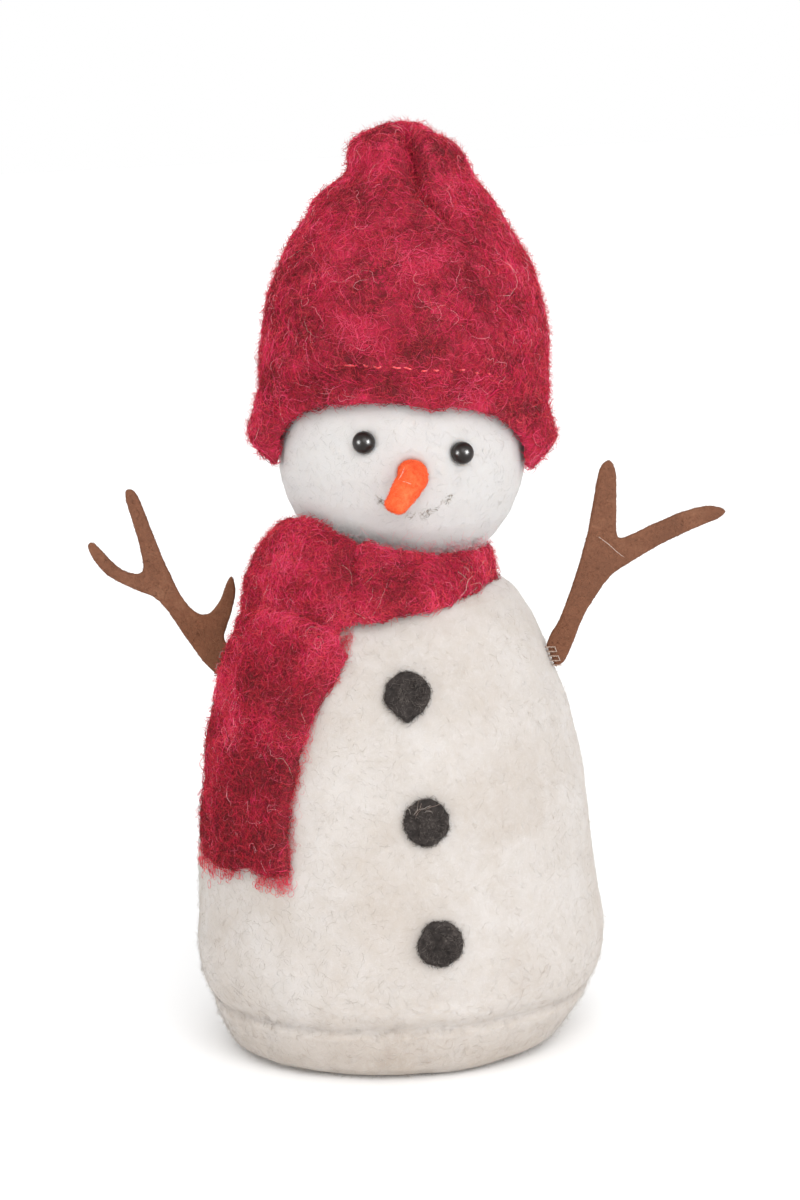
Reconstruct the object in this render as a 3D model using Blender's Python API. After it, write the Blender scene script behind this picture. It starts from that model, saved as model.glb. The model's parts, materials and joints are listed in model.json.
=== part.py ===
"""A standing snowman figure of wool felt: a stuffed body and head, a tall hat, a scarf and two twig arms.

All sizes are in millimetres and become metres when an object is made. The figure stands on z = 0, its
body's axis is the z axis and it faces -Y. Left is -X and right is +X. An azimuth is measured from the
front, positive towards the right.
"""

import math

import bmesh
import bpy
import numpy as np
from mathutils import Matrix, Vector

MM = 0.001
GAP = 0.4

# Body: a rounded cone with a felt skin over foam, closed by a felt dish at the bottom.
BODY_OUTLINE = [
    (14.4, 46.4), (17.0, 48.4), (21.0, 50.0), (28.0, 50.8), (38.0, 50.5), (52.0, 49.4),
    (68.0, 47.7), (85.0, 44.9), (100.0, 40.5), (109.0, 36.9), (115.0, 33.1), (118.4, 29.0),
]
BODY_TOP = 119.4
SKIN = 2.4
CAP_OUTLINE = [(0.0, 40.5), (0.9, 42.0), (4.0, 43.5), (8.5, 45.0), (12.0, 46.1), (13.8, 46.3)]
CAP_FLOOR = 2.0
CARD_THICKNESS = 1.6
ROUND_STEPS = 36

# Head: a ball that sits a little to the right of the body's axis, on a dowel.
HEAD = Vector((5.9, -1.0, 151.6))
HEAD_RADIUS = 31.5
PEG_RADIUS = 3.0
PEG_BOTTOM = 98.0
PEG_TOP = 144.0
BEAD_RADIUS = 2.8
BEAD_STANDS_OUT = 0.7
EYES = {"left": (-27.1, 10.2), "right": (17.2, 3.3)}

# Nose: a blunt carrot that leaves the face and bends down to the left.
NOSE_SPINE = [(2.6, -30.4, 149.4), (2.1, -35.4, 148.7), (-0.6, -38.2, 145.6), (-3.7, -39.4, 142.0)]
NOSE_RADII = [3.3, 3.7, 3.4, 2.7]

# Mouth: thread along a shallow curve under the nose, given by azimuth and elevation on the head.
MOUTH_SWEEP = (-23.0, 11.0)
MOUTH_CORNER_ELEVATION = -16.3
MOUTH_SAG = 8.7
THREAD_RADIUS = 0.3

# Buttons: felt dots down the front.
BUTTON_RADIUS = 5.6
BUTTON_THICKNESS = 1.6
BUTTONS = {"top": (-3.9, 96.3), "middle": (-1.0, 65.8), "bottom": (1.0, 36.0)}

# Hat: a tall felt cap about an axis that leans to the right through the head's middle.
HAT_LEAN = 3.6
HAT_OUTLINE = [
    (-8.0, 36.6), (-2.0, 37.0), (5.0, 36.8), (12.0, 36.1), (28.0, 35.5), (36.0, 34.3), (43.0, 32.6),
    (50.0, 29.6), (58.0, 24.6), (65.0, 19.2), (70.0, 15.4), (76.0, 13.0), (80.0, 9.4), (81.6, 4.0),
]
HAT_THICKNESS = 3.0
HAT_CLEARANCE = 0.7
HAT_OUTER_ROWS = [
    0.0, 0.02, 0.07, 0.14, 0.24, 0.34, 0.44, 0.53, 0.61, 0.69, 0.76, 0.82, 0.88, 0.93, 0.97, 1.0,
]
HAT_INNER_ROWS = [0.0, 0.12, 0.24, 0.36, 0.48, 0.6, 0.7, 0.8, 0.9, 1.0]
HAT_ROOF = 6.0
WADDING_UNDERSIDE = [31.5, 29.5, 26.0]
WADDING_WALL = [27.0, 36.0, 44.0, 52.0, 60.0, 66.0]
GATHER_HEIGHT = 71.0
GATHER_INSET = 4.6
HAT_STEPS = 72
BRIM_MIDDLE = -9.0
BRIM_HIGHEST = 14.7
BRIM_EDGE = [
    (-180.0, -1.0), (-140.0, -1.0), (-105.0, -0.5), (-93.0, -2.0), (-85.0, -3.6), (-80.0, -3.0),
    (-76.0, 5.6), (-70.5, 9.0), (-59.0, 11.2), (-45.0, 13.4), (-30.0, 14.4), (-16.0, 14.7), (-5.0, 14.0),
    (4.0, 13.0), (14.0, 13.2), (23.0, 12.7), (34.0, 11.0), (46.0, 8.6), (54.5, 5.2), (59.0, -2.4),
    (64.0, -3.6), (71.0, -2.4), (82.0, -0.8), (140.0, -1.0), (180.0, -1.0),
]
BRIM_TUCK = (3.5, 9.0)
FLAP_ROLL = 1.8
FLAP_ROLL_HEIGHT = 4.6
FLAP_MIDDLES = (-96.0, 76.0)
FOLD_DEPTH = 4.0
FOLD_FROM = 56.0
STITCH_LINE_ABOVE_BRIM = 8.3

# Scarf: a strip round the neck whose end laps over it at the front left and hangs down as a tail.
# Its two edges are ovals that tilt: "height" at the axis, "rise" per unit towards +X and towards +Y.
SCARF_THICKNESS = 3.0
SCARF_LOW = {"centre": (-5.0, -2.6), "half": (31.0, 35.4), "height": 116.4, "rise": (2.6, 1.4)}
SCARF_HIGH = {"centre": (-1.0, -0.2), "half": (26.2, 27.6), "height": 130.4, "rise": (-3.6, 1.0)}
SCARF_COLUMNS = 48
SCARF_ACROSS = [0.0, 0.15, 0.4, 0.65, 0.88, 1.0]
SCARF_BULGE = 1.3
SCARF_TOP_RISE = [
    (-180.0, 1.0), (-140.0, 0.8), (-120.0, 0.0), (-105.0, -1.0), (-90.0, -0.4), (-75.0, 2.2), (-60.0, 5.6),
    (-45.0, 5.5), (-30.0, 3.0), (-15.0, 2.5), (-5.0, 1.6), (5.0, 1.2), (15.0, 0.5), (35.0, 0.4),
    (45.0, 1.0), (60.0, 2.7), (75.0, 3.0), (90.0, 2.0), (120.0, 1.0), (180.0, 1.0),
]
SCARF_EDGE_THINNING = 0.35
LAP_THICKENING = 0.75
LAP_BULGE = 0.9
LAP_RIGHT = -23.0
LAP_LEFT = -88.0
TAIL_LEFT = -82.0
TAIL_FOLD_TOP = 112.0
TAIL_BOTTOM = 52.5
TAIL_FOLD_DROP = 6.0
FOLD_GAP = 1.7
TAIL_OFFSET = 0.6
TAIL_ROWS = 10
TAIL_COLUMNS = 8
TAIL_FLARE = 0.8
TAIL_FLARE_HEIGHT = 62.0
TAIL_SHOULDER = 1.2
TAIL_RIGHT_EDGE = [
    (52.0, -40.5), (66.0, -42.0), (77.0, -40.5), (86.0, -38.0), (96.0, -34.0), (104.0, -28.5),
    (112.0, -24.0),
]

# Arms: forked twigs cut from one sheet each. An outline lists (distance from the body's axis, height).
ARM_THICKNESS = 1.5
ARM_EDGE = 0.45
ARM_CURVE_STEPS = 3
ARM_DIRECTION = 80.0
ARM_ROOT_CLEARANCE = 1.0
ARMS = {
    "left": {
        "side": -1.0,
        "depth": 2.3,
        "root": (95.6, 103.6),
        "outline": [
            (41.4, 106.4), (39.2, 112.2), (37.8, 118.0), (38.5, 121.7), (39.8, 120.6), (42.1, 115.4),
            (45.3, 112.3), (48.9, 113.4), (52.1, 118.2), (56.0, 127.6), (59.1, 137.1), (61.5, 143.7),
            (63.4, 145.2), (64.5, 143.2), (62.2, 133.6), (60.9, 125.8), (62.1, 123.5), (66.3, 124.6),
            (70.5, 128.9), (72.8, 131.7), (74.5, 131.8), (74.2, 129.2), (70.2, 123.4), (63.2, 119.3),
            (57.2, 116.0), (51.4, 106.9), (47.2, 100.2),
        ],
    },
    "right": {
        "side": 1.0,
        "depth": 7.6,
        "root": (95.4, 101.6),
        "outline": [
            (41.9, 104.9), (44.2, 108.6), (48.5, 119.5), (51.9, 130.3), (54.2, 141.5), (55.6, 146.1),
            (57.7, 147.7), (59.2, 145.7), (59.5, 140.9), (59.1, 132.4), (59.2, 128.4), (60.9, 127.9),
            (67.4, 130.6), (75.6, 133.7), (81.6, 134.9), (85.2, 134.5), (86.7, 133.3), (85.0, 131.7),
            (77.8, 128.9), (69.3, 125.2), (61.9, 121.2), (57.3, 118.3), (53.6, 113.7), (49.9, 108.0),
            (46.8, 100.8), (44.6, 96.8),
        ],
    },
}
STITCHES = 5
STITCH_REACH = 1.1
STITCH_RADIUS = 0.18


def clear_scene():
    """Removes whatever objects the file starts with."""
    for old in list(bpy.data.objects):
        bpy.data.objects.remove(old)


def plain_material(name, colour, roughness, metallic=0.0):
    """A Principled material with one colour."""
    material = bpy.data.materials.new(name)
    material.use_nodes = True
    shader = material.node_tree.nodes["Principled BSDF"]
    shader.inputs["Base Color"].default_value = (*colour, 1.0)
    shader.inputs["Roughness"].default_value = roughness
    shader.inputs["Metallic"].default_value = metallic
    return material


def add_object(name, shape, material, origin=(0.0, 0.0, 0.0)):
    """Turns a bmesh in millimetres into a smooth-shaded object in metres, with its own origin."""
    origin = Vector(origin)
    bmesh.ops.recalc_face_normals(shape, faces=shape.faces)
    bmesh.ops.transform(shape, matrix=Matrix.Scale(MM, 4) @ Matrix.Translation(-origin), verts=shape.verts)
    mesh = bpy.data.meshes.new(name)
    shape.to_mesh(mesh)
    shape.free()
    mesh.shade_smooth()
    mesh.set_sharp_from_angle(angle=math.radians(40))
    mesh.materials.append(material)
    made = bpy.data.objects.new(name, mesh)
    made.location = origin * MM
    bpy.context.collection.objects.link(made)
    return made


def loft(rings, closed=False):
    """Skins a list of point rings. An open run of rings gets a flat cap at each end."""
    shape = bmesh.new()
    rows = [[shape.verts.new(point) for point in ring] for ring in rings]
    pairs = list(zip(rows, rows[1:]))
    if closed:
        pairs.append((rows[-1], rows[0]))
    else:
        shape.faces.new(rows[0])
        shape.faces.new(list(reversed(rows[-1])))
    count = len(rows[0])
    for row, following in pairs:
        for i in range(count):
            j = (i + 1) % count
            shape.faces.new((row[j], row[i], following[i], following[j]))
    return shape


def smooth_line(points, steps, closed=False):
    """A Catmull-Rom curve through points of any dimension, with this many steps between neighbours."""
    points = np.array(points, dtype=float)
    count = len(points)
    spans = count if closed else count - 1
    line = []
    for i in range(spans):
        if closed:
            a, b, c, d = (points[(i + k) % count] for k in (-1, 0, 1, 2))
        else:
            a, b, c, d = (points[min(max(i + k, 0), count - 1)] for k in (-1, 0, 1, 2))
        for step in range(steps):
            t = step / steps
            line.append(0.5 * (2 * b + (c - a) * t + (2 * a - 5 * b + 4 * c - d) * t**2
                               + (3 * b - a - 3 * c + d) * t**3))
    if not closed:
        line.append(points[-1])
    return np.array(line)


BODY_CURVE = smooth_line(BODY_OUTLINE, 4)
HAT_CURVE = smooth_line(HAT_OUTLINE, 4)


def body_radius(height):
    """Outer radius of the body's felt skin."""
    return float(np.interp(height, BODY_CURVE[:, 0], BODY_CURVE[:, 1]))


def ring(radius, height, steps=ROUND_STEPS, centre=(0.0, 0.0)):
    """A level ring of points."""
    angles = [2 * math.pi * i / steps for i in range(steps)]
    return [(centre[0] + radius * math.cos(a), centre[1] + radius * math.sin(a), height) for a in angles]


def turned(profile, steps=ROUND_STEPS, centre=(0.0, 0.0)):
    """A solid of revolution about a vertical axis from (radius, height) points, capped at both ends."""
    return loft([ring(radius, height, steps, centre) for radius, height in profile])


def tube(points, radius, sides=6):
    """A closed tube of one radius, or a list of radii, along a line of points."""
    points = [Vector(tuple(float(c) for c in p)) for p in points]
    radii = [radius] * len(points) if isinstance(radius, float) else radius
    rings = []
    across = None
    for i, point in enumerate(points):
        along = (points[min(i + 1, len(points) - 1)] - points[max(i - 1, 0)]).normalized()
        if across is None:
            across = along.orthogonal().normalized()
        across = (across - along * across.dot(along)).normalized()
        other = along.cross(across)
        turns = [2 * math.pi * k / sides for k in range(sides)]
        rings.append([point + radii[i] * (across * math.cos(a) + other * math.sin(a)) for a in turns])
    return loft(rings)


def flat_direction(azimuth):
    """The level unit vector that points away from the axis at an azimuth."""
    angle = math.radians(azimuth)
    return Vector((math.sin(angle), -math.cos(angle), 0.0))


def head_point(azimuth, elevation, radius):
    """A point at a distance from the head's middle."""
    rise = math.radians(elevation)
    return HEAD + radius * (flat_direction(azimuth) * math.cos(rise) + Vector((0, 0, math.sin(rise))))


def cut(target, cutter):
    """Subtracts a hidden cutter from an object with an exact Boolean."""
    cutter.hide_render = True
    cutter.display_type = "WIRE"
    modifier = target.modifiers.new(f"cut_{cutter.name}", "BOOLEAN")
    modifier.operation = "DIFFERENCE"
    modifier.solver = "EXACT"
    modifier.object = cutter


def make_base():
    """The felt dish and the card disc that stiffens it."""
    felt = plain_material("base_felt", (0.74, 0.69, 0.64), 0.95)
    card = plain_material("base_card", (0.45, 0.34, 0.22), 0.85)
    outer = [(radius, height) for height, radius in CAP_OUTLINE]
    inner_radius = CAP_OUTLINE[0][1] - SKIN + 0.6
    wall_top = (outer[-1][0] - SKIN, outer[-1][1])
    inner = [wall_top, (wall_top[0] - 1.5, 8.0), (inner_radius + 1.6, 4.0), (inner_radius, CAP_FLOOR)]
    add_object("base_cap", turned(outer + inner), felt)
    low = CAP_FLOOR + GAP
    high = low + CARD_THICKNESS
    disc_radius = inner_radius - 0.5
    add_object("base_card", turned([(disc_radius, low), (disc_radius, high)]), card)
    return high + GAP


def make_body(core_bottom, peg_guide):
    """The foam core and the felt skin over it."""
    felt = plain_material("body_felt", (0.81, 0.75, 0.70), 0.95)
    foam = plain_material("body_core", (0.9, 0.9, 0.88), 0.8)
    heights = [z for z, _ in BODY_CURVE[::4]]
    outer = [(body_radius(z), z) for z in heights]
    outer += [(24.0, BODY_TOP), (6.0, BODY_TOP)]
    inner_heights = [z for z, _ in BODY_OUTLINE[:-1]]
    inner = [(body_radius(z) - SKIN, z) for z in inner_heights]
    inner += [(24.0, BODY_TOP - SKIN), (6.0, BODY_TOP - SKIN)]
    skin = add_object("body_felt", turned(list(reversed(outer)) + inner), felt)
    lower = [(39.0, core_bottom), (41.5, 13.6)]
    middle = [(radius - GAP, z) for radius, z in inner[1:-2]]
    upper = [(23.6, BODY_TOP - SKIN - GAP)]
    core = add_object("body_core", turned(lower + middle + upper), foam)
    for target in (skin, core):
        cut(target, peg_guide)


def ball_profile(radius, steps):
    """Half a circle from the bottom of the head to its top, as (radius, height) points."""
    angles = [math.pi * (i + 0.5) / steps - math.pi / 2 for i in range(steps)]
    return [(radius * math.cos(a), HEAD.z + radius * math.sin(a)) for a in angles]


def make_head(peg_guide):
    """The foam ball, its felt skin, and the hollows that the beads and the nose sit in."""
    felt = plain_material("head_felt", (0.86, 0.82, 0.80), 0.9)
    foam = plain_material("head_core", (0.9, 0.9, 0.88), 0.8)
    centre = (HEAD.x, HEAD.y)
    outer = ball_profile(HEAD_RADIUS, 14)
    inner = ball_profile(HEAD_RADIUS - SKIN, 9)
    neck = (5.5, HEAD.z - HEAD_RADIUS + 0.6)
    skin_profile = list(reversed(outer[1:])) + [neck, (5.5, neck[1] + SKIN)] + inner[1:]
    skin = add_object("head_felt", turned(skin_profile, ROUND_STEPS, centre), felt)
    core = add_object("head_core", turned(ball_profile(HEAD_RADIUS - SKIN - 0.8, 9), 24, centre), foam)
    cut(core, peg_guide)
    return skin


def make_peg():
    """The wooden dowel, and the wider guide that opens its holes."""
    wood = plain_material("neck_peg", (0.62, 0.45, 0.28), 0.6)
    centre = (HEAD.x, HEAD.y)
    add_object("neck_peg", turned([(PEG_RADIUS, PEG_BOTTOM), (PEG_RADIUS, PEG_TOP)], 20, centre), wood)
    wide = PEG_RADIUS + 2 * GAP
    profile = [(wide, PEG_BOTTOM - GAP), (wide, PEG_TOP + GAP)]
    return add_object("peg_guide", turned(profile, 20, centre), wood)


def ball(centre, radius, columns, rows):
    """A sphere as a bmesh."""
    shape = bmesh.new()
    bmesh.ops.create_uvsphere(shape, u_segments=columns, v_segments=rows, radius=radius)
    bmesh.ops.translate(shape, vec=centre, verts=shape.verts)
    return shape


def make_eyes(head_skin):
    """Two black beads, each in a small hollow of the face."""
    glass = plain_material("eye_bead", (0.008, 0.008, 0.01), 0.08)
    for side, (azimuth, elevation) in EYES.items():
        centre = head_point(azimuth, elevation, HEAD_RADIUS + BEAD_STANDS_OUT)
        add_object(f"eye_bead_{side}", ball(centre, BEAD_RADIUS, 12, 8), glass)
        socket = add_object(f"eye_socket_{side}", ball(centre, BEAD_RADIUS + GAP, 12, 8), glass)
        cut(head_skin, socket)


def nose_tube(extra):
    """The carrot's curved taper, or a fatter copy of it."""
    line = smooth_line(NOSE_SPINE, 4)
    radii = [float(r) + extra for r in smooth_line([[r] for r in NOSE_RADII], 4)[:, 0]]
    line = np.vstack([line, line[-1] + 0.9 * (line[-1] - line[-2])])
    radii.append(radii[-1] * 0.6)
    return tube(line, radii, 14)


def make_nose(head_skin):
    """The felt carrot and the hollow for its root."""
    felt = plain_material("nose_felt", (0.92, 0.22, 0.06), 0.9)
    add_object("nose", nose_tube(0.0), felt)
    cutter = add_object("nose_socket", nose_tube(GAP), felt)
    cut(head_skin, cutter)


def make_mouth():
    """One thread that lies on the face as a smile."""
    thread = plain_material("mouth_thread", (0.22, 0.14, 0.09), 0.8)
    start, end = MOUTH_SWEEP
    points = []
    for i in range(17):
        t = i / 16
        azimuth = start + (end - start) * t
        elevation = MOUTH_CORNER_ELEVATION - MOUTH_SAG * 4 * t * (1 - t)
        points.append(head_point(azimuth, elevation, HEAD_RADIUS + THREAD_RADIUS + GAP))
    add_object("mouth_thread", tube(points, THREAD_RADIUS, 5), thread)


def make_buttons():
    """Three felt dots, each flat against the slope of the body."""
    felt = plain_material("button_felt", (0.065, 0.052, 0.048), 0.95)
    for name, (azimuth, height) in BUTTONS.items():
        out = flat_direction(azimuth)
        slope = (body_radius(height + 2) - body_radius(height - 2)) / 4
        normal = (out - Vector((0, 0, slope))).normalized()
        back = out * body_radius(height) + Vector((0, 0, height)) + normal * GAP
        edge = 0.35
        profile = [
            (BUTTON_RADIUS - edge, 0.0), (BUTTON_RADIUS, edge), (BUTTON_RADIUS, BUTTON_THICKNESS - edge),
            (BUTTON_RADIUS - edge, BUTTON_THICKNESS),
        ]
        shape = turned(profile, 24)
        turn = normal.to_track_quat("Z", "Y").to_matrix().to_4x4()
        bmesh.ops.transform(shape, matrix=Matrix.Translation(back) @ turn, verts=shape.verts)
        add_object(f"button_{name}", shape, felt)


def smooth_step(value):
    """A ramp from 0 to 1 with level ends."""
    value = min(max(value, 0.0), 1.0)
    return value * value * (3 - 2 * value)


def table_value(table, key):
    """Reads a table of (key, value) pairs, with straight lines between them."""
    return float(np.interp(key, [row[0] for row in table], [row[1] for row in table]))


def wrapped(azimuth):
    """The same azimuth between -180 and 180."""
    return (azimuth + 180.0) % 360.0 - 180.0


def brim_height(azimuth):
    """Height of the hat's lower edge above the head's middle: an arch in front, low at the sides."""
    return table_value(BRIM_EDGE, wrapped(azimuth))


def brim_shape(radius, height, azimuth):
    """Draws the hat's radius in to the head along its lower edge, and rolls its side flaps outwards."""
    for middle in FLAP_MIDDLES:
        side = math.exp(-((wrapped(azimuth - middle) / 24.0) ** 2))
        radius += FLAP_ROLL * side * math.exp(-(((height - FLAP_ROLL_HEIGHT) / 4.0) ** 2))
    edge = brim_height(azimuth)
    hug = HEAD_RADIUS + HAT_CLEARANCE + HAT_THICKNESS
    hug = math.sqrt(hug**2 - min(height, hug) ** 2)
    tuck = BRIM_TUCK[0] + BRIM_TUCK[1] * max(edge, 0.0) / BRIM_HIGHEST
    weight = 1 - smooth_step((height - edge) / tuck)
    return radius + (min(hug, radius) - radius) * weight


def hat_radius(height, azimuth):
    """Outer radius of the hat, pinched by one fold near the top of its front."""
    radius = brim_shape(float(np.interp(height, HAT_CURVE[:, 0], HAT_CURVE[:, 1])), height, azimuth)
    rise = smooth_step((height - FOLD_FROM) / (HAT_OUTLINE[-2][0] - FOLD_FROM))
    middle = BRIM_MIDDLE + 16.0 * (1 - rise) ** 2
    width = math.degrees(4.0 / radius)
    pinch = math.exp(-((wrapped(azimuth - middle) / width) ** 2))
    return radius - min(FOLD_DEPTH, 0.5 * radius) * rise * pinch


def hat_frame():
    """Turns points about the head's middle, with z along the hat's axis, into the figure's frame."""
    return Matrix.Translation(HEAD) @ Matrix.Rotation(math.radians(HAT_LEAN), 4, "Y")


def hat_point(azimuth, radius, height):
    """A point in the hat's own frame, given as a plain vector."""
    return flat_direction(azimuth) * radius + Vector((0, 0, height))


def hat_ring(heights_at, radius_at, steps=HAT_STEPS):
    """A ring round the hat whose height and radius depend on the azimuth."""
    azimuths = [360.0 * i / steps for i in range(steps)]
    return [hat_point(a, radius_at(heights_at(a), a), heights_at(a)) for a in azimuths]


def hat_inner_radius(height, azimuth):
    """Radius of the hat's inside, which stays clear of the head all the way down."""
    inside = hat_radius(height, azimuth) - HAT_THICKNESS
    widest = HEAD_RADIUS + HAT_CLEARANCE
    if height >= widest:
        return inside
    over_head = math.sqrt(widest**2 - max(height, 0.0) ** 2)
    return max(inside, over_head)


def wall_rings(rows, roof, radius_at):
    """Rings from the brim to the roof at these shares of the way up."""
    rings = []
    for share in rows:
        rings.append(hat_ring(lambda a, f=share: brim_height(a) + (roof - brim_height(a)) * f, radius_at))
    return rings


def hat_shell():
    """The felt of the hat, outside and inside."""
    top = HAT_OUTLINE[-1][0]
    outer = wall_rings(HAT_OUTER_ROWS, top, hat_radius)
    inner = wall_rings(HAT_INNER_ROWS, top - HAT_ROOF, hat_inner_radius)
    return loft(list(reversed(outer)) + inner)


def hem_stitching():
    """The running thread above the brim's arch."""
    line = []
    for i in range(21):
        azimuth = BRIM_MIDDLE - 42 + 84 * i / 20
        height = brim_height(azimuth) + STITCH_LINE_ABOVE_BRIM
        line.append(hat_point(azimuth, hat_radius(height, azimuth) + THREAD_RADIUS + GAP, height))
    return tube(line, THREAD_RADIUS, 5)


def crown_wadding():
    """The filling between the top of the head and the crown."""
    hollow = HEAD_RADIUS + HAT_CLEARANCE + 0.8
    rings = []
    for height in WADDING_UNDERSIDE:
        radius = math.sqrt(hollow**2 - height**2)
        rings.append(hat_ring(lambda a, h=height: h, lambda h, a, r=radius: r, 24))
    for height in WADDING_WALL:
        rings.append(hat_ring(lambda a, h=height: h, lambda h, a: hat_inner_radius(h, a) - 1.0, 24))
    return loft(rings)


def gather_loop():
    """The thread that pinches the crown from inside."""
    radius = hat_inner_radius(GATHER_HEIGHT, 180.0) - GATHER_INSET
    return tube([hat_point(a, radius, GATHER_HEIGHT) for a in range(20, 341, 20)], THREAD_RADIUS, 5)


def make_hat():
    """The felt shell, its hem stitching, the wadding in its crown and the thread that gathers it."""
    felt = plain_material("hat_felt", (0.37, 0.022, 0.045), 0.95)
    thread = plain_material("hat_thread", (0.70, 0.02, 0.03), 0.6)
    wadding = plain_material("hat_wadding", (0.85, 0.85, 0.83), 0.95)
    parts = {
        "hat_felt": (hat_shell(), felt),
        "hat_hem_thread": (hem_stitching(), thread),
        "hat_wadding": (crown_wadding(), wadding),
        "hat_gather_thread": (gather_loop(), thread),
    }
    for name, (shape, material) in parts.items():
        bmesh.ops.transform(shape, matrix=hat_frame(), verts=shape.verts)
        add_object(name, shape, material, HEAD)


def keep_clear(point):
    """Pushes a scarf point out of the head's ball and off the body's skin."""
    from_head = point - HEAD
    wanted = HEAD_RADIUS + 0.6
    if from_head.length < wanted:
        point = HEAD + from_head.normalized() * wanted
    if point.z < BODY_TOP + GAP:
        flat = Vector((point.x, point.y, 0.0))
        wanted = body_radius(point.z) + GAP + 0.3
        if flat.length < wanted:
            flat = flat.normalized() * wanted
            point = Vector((flat.x, flat.y, point.z))
    return point


def lap_amount(azimuth):
    """How far the second layer of the strip lies over the first, from 0 to 1."""
    right = smooth_step((LAP_RIGHT - azimuth) / 3.0)
    left = smooth_step((azimuth - LAP_LEFT) / 3.0)
    return right * left


def fold_height(azimuth):
    """Height of the bend below which the strip's end hangs free."""
    middle = (LAP_LEFT + LAP_RIGHT) / 2
    reach = (azimuth - middle) / ((LAP_RIGHT - LAP_LEFT) / 2)
    return TAIL_FOLD_TOP - TAIL_FOLD_DROP * min(reach * reach, 1.0)


def oval_point(oval, out):
    """The point of one edge of the strip in the level direction out."""
    centre, half, rise = oval["centre"], oval["half"], oval["rise"]
    height = oval["height"] + rise[0] * out.x + rise[1] * out.y
    return Vector((centre[0] + half[0] * out.x, centre[1] + half[1] * out.y, height))


def scarf_section(azimuth):
    """One cross-section of the strip where it goes round the neck."""
    out = flat_direction(azimuth)
    lap = lap_amount(azimuth)
    low = oval_point(SCARF_LOW, out)
    high = oval_point(SCARF_HIGH, out)
    high.z += table_value(SCARF_TOP_RISE, azimuth)
    if lap > 0:
        apron = fold_height(azimuth) + FOLD_GAP
        reach = body_radius(apron) + GAP + SCARF_THICKNESS
        low = low.lerp(out * reach + Vector((0, 0, apron)), lap)
    thickness = SCARF_THICKNESS * (1 + LAP_THICKENING * lap)
    along = (high - low).normalized()
    outward = (out - along * out.dot(along)).normalized()
    front = []
    back = []
    for share in SCARF_ACROSS:
        bulge = (SCARF_BULGE + LAP_BULGE * lap) * math.sin(math.pi * share)
        thin = SCARF_EDGE_THINNING if share in (0.0, 1.0) else 0.0
        middle = low.lerp(high, share) + outward * bulge
        front.append(keep_clear(middle - outward * thin * thickness))
        back.append(keep_clear(middle - outward * thickness * (1 - thin)))
    return front + list(reversed(back))


def tail_grid():
    """Rows of (azimuth, height) over the hanging end, from its bend down to its torn edge."""
    rows = []
    for i in range(TAIL_ROWS + 1):
        down = i / TAIL_ROWS
        level = TAIL_FOLD_TOP + (TAIL_BOTTOM - TAIL_FOLD_TOP) * down
        right = table_value(TAIL_RIGHT_EDGE, level)
        row = []
        for k in range(TAIL_COLUMNS + 1):
            azimuth = TAIL_LEFT + (right - TAIL_LEFT) * k / TAIL_COLUMNS
            top = fold_height(azimuth)
            row.append((azimuth, top + (TAIL_BOTTOM - top) * down))
        rows.append(row)
    return rows


def tail_offset(height, outside):
    """How far one side of the hanging end lies off the body's skin."""
    flare = TAIL_FLARE * math.exp(-(((height - TAIL_FLARE_HEIGHT) / 9.0) ** 2))
    offset = TAIL_OFFSET + flare
    if outside:
        offset += SCARF_THICKNESS + TAIL_SHOULDER * smooth_step((height - 100) / 12)
    return offset


def tail_point(azimuth, height, outside):
    """A point on the outer or the inner side of the hanging end."""
    radius = body_radius(height) + tail_offset(height, outside)
    return flat_direction(azimuth) * radius + Vector((0, 0, height))


def make_scarf():
    """The strip round the neck, and the end that hangs from the bend at the shoulder."""
    wool = plain_material("scarf_felt", (0.33, 0.02, 0.04), 0.95)
    sections = [scarf_section(360.0 * i / SCARF_COLUMNS - 180.0) for i in range(SCARF_COLUMNS)]
    add_object("scarf_wrap", loft(sections, closed=True), wool)

    rings = []
    for row in tail_grid():
        outer = [tail_point(azimuth, height, True) for azimuth, height in row]
        inner = [tail_point(azimuth, height, False) for azimuth, height in row]
        rings.append(outer + list(reversed(inner)))
    middle = flat_direction((LAP_LEFT + LAP_RIGHT) / 2)
    pivot = middle * (body_radius(TAIL_FOLD_TOP) + GAP + SCARF_THICKNESS / 2)
    pivot.z = TAIL_FOLD_TOP - SCARF_THICKNESS / 2
    add_object("scarf_tail", loft(rings), wool, pivot)


def arm_axes(arm):
    """The arm sheet's level direction, its facing direction and its root line."""
    along = flat_direction(ARM_DIRECTION) * arm["side"]
    facing = flat_direction(ARM_DIRECTION - 90.0)
    root = []
    for height in arm["root"]:
        surface = math.sqrt(body_radius(height) ** 2 - arm["depth"] ** 2)
        root.append((surface + ARM_ROOT_CLEARANCE, height))
    return along, facing, root


def arm_point(arm, along, facing, distance, height, lift):
    """A point of the arm: distance and height in its sheet, lift off the sheet's middle."""
    return along * distance + facing * (arm["depth"] + lift) + Vector((0, 0, height))


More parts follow.
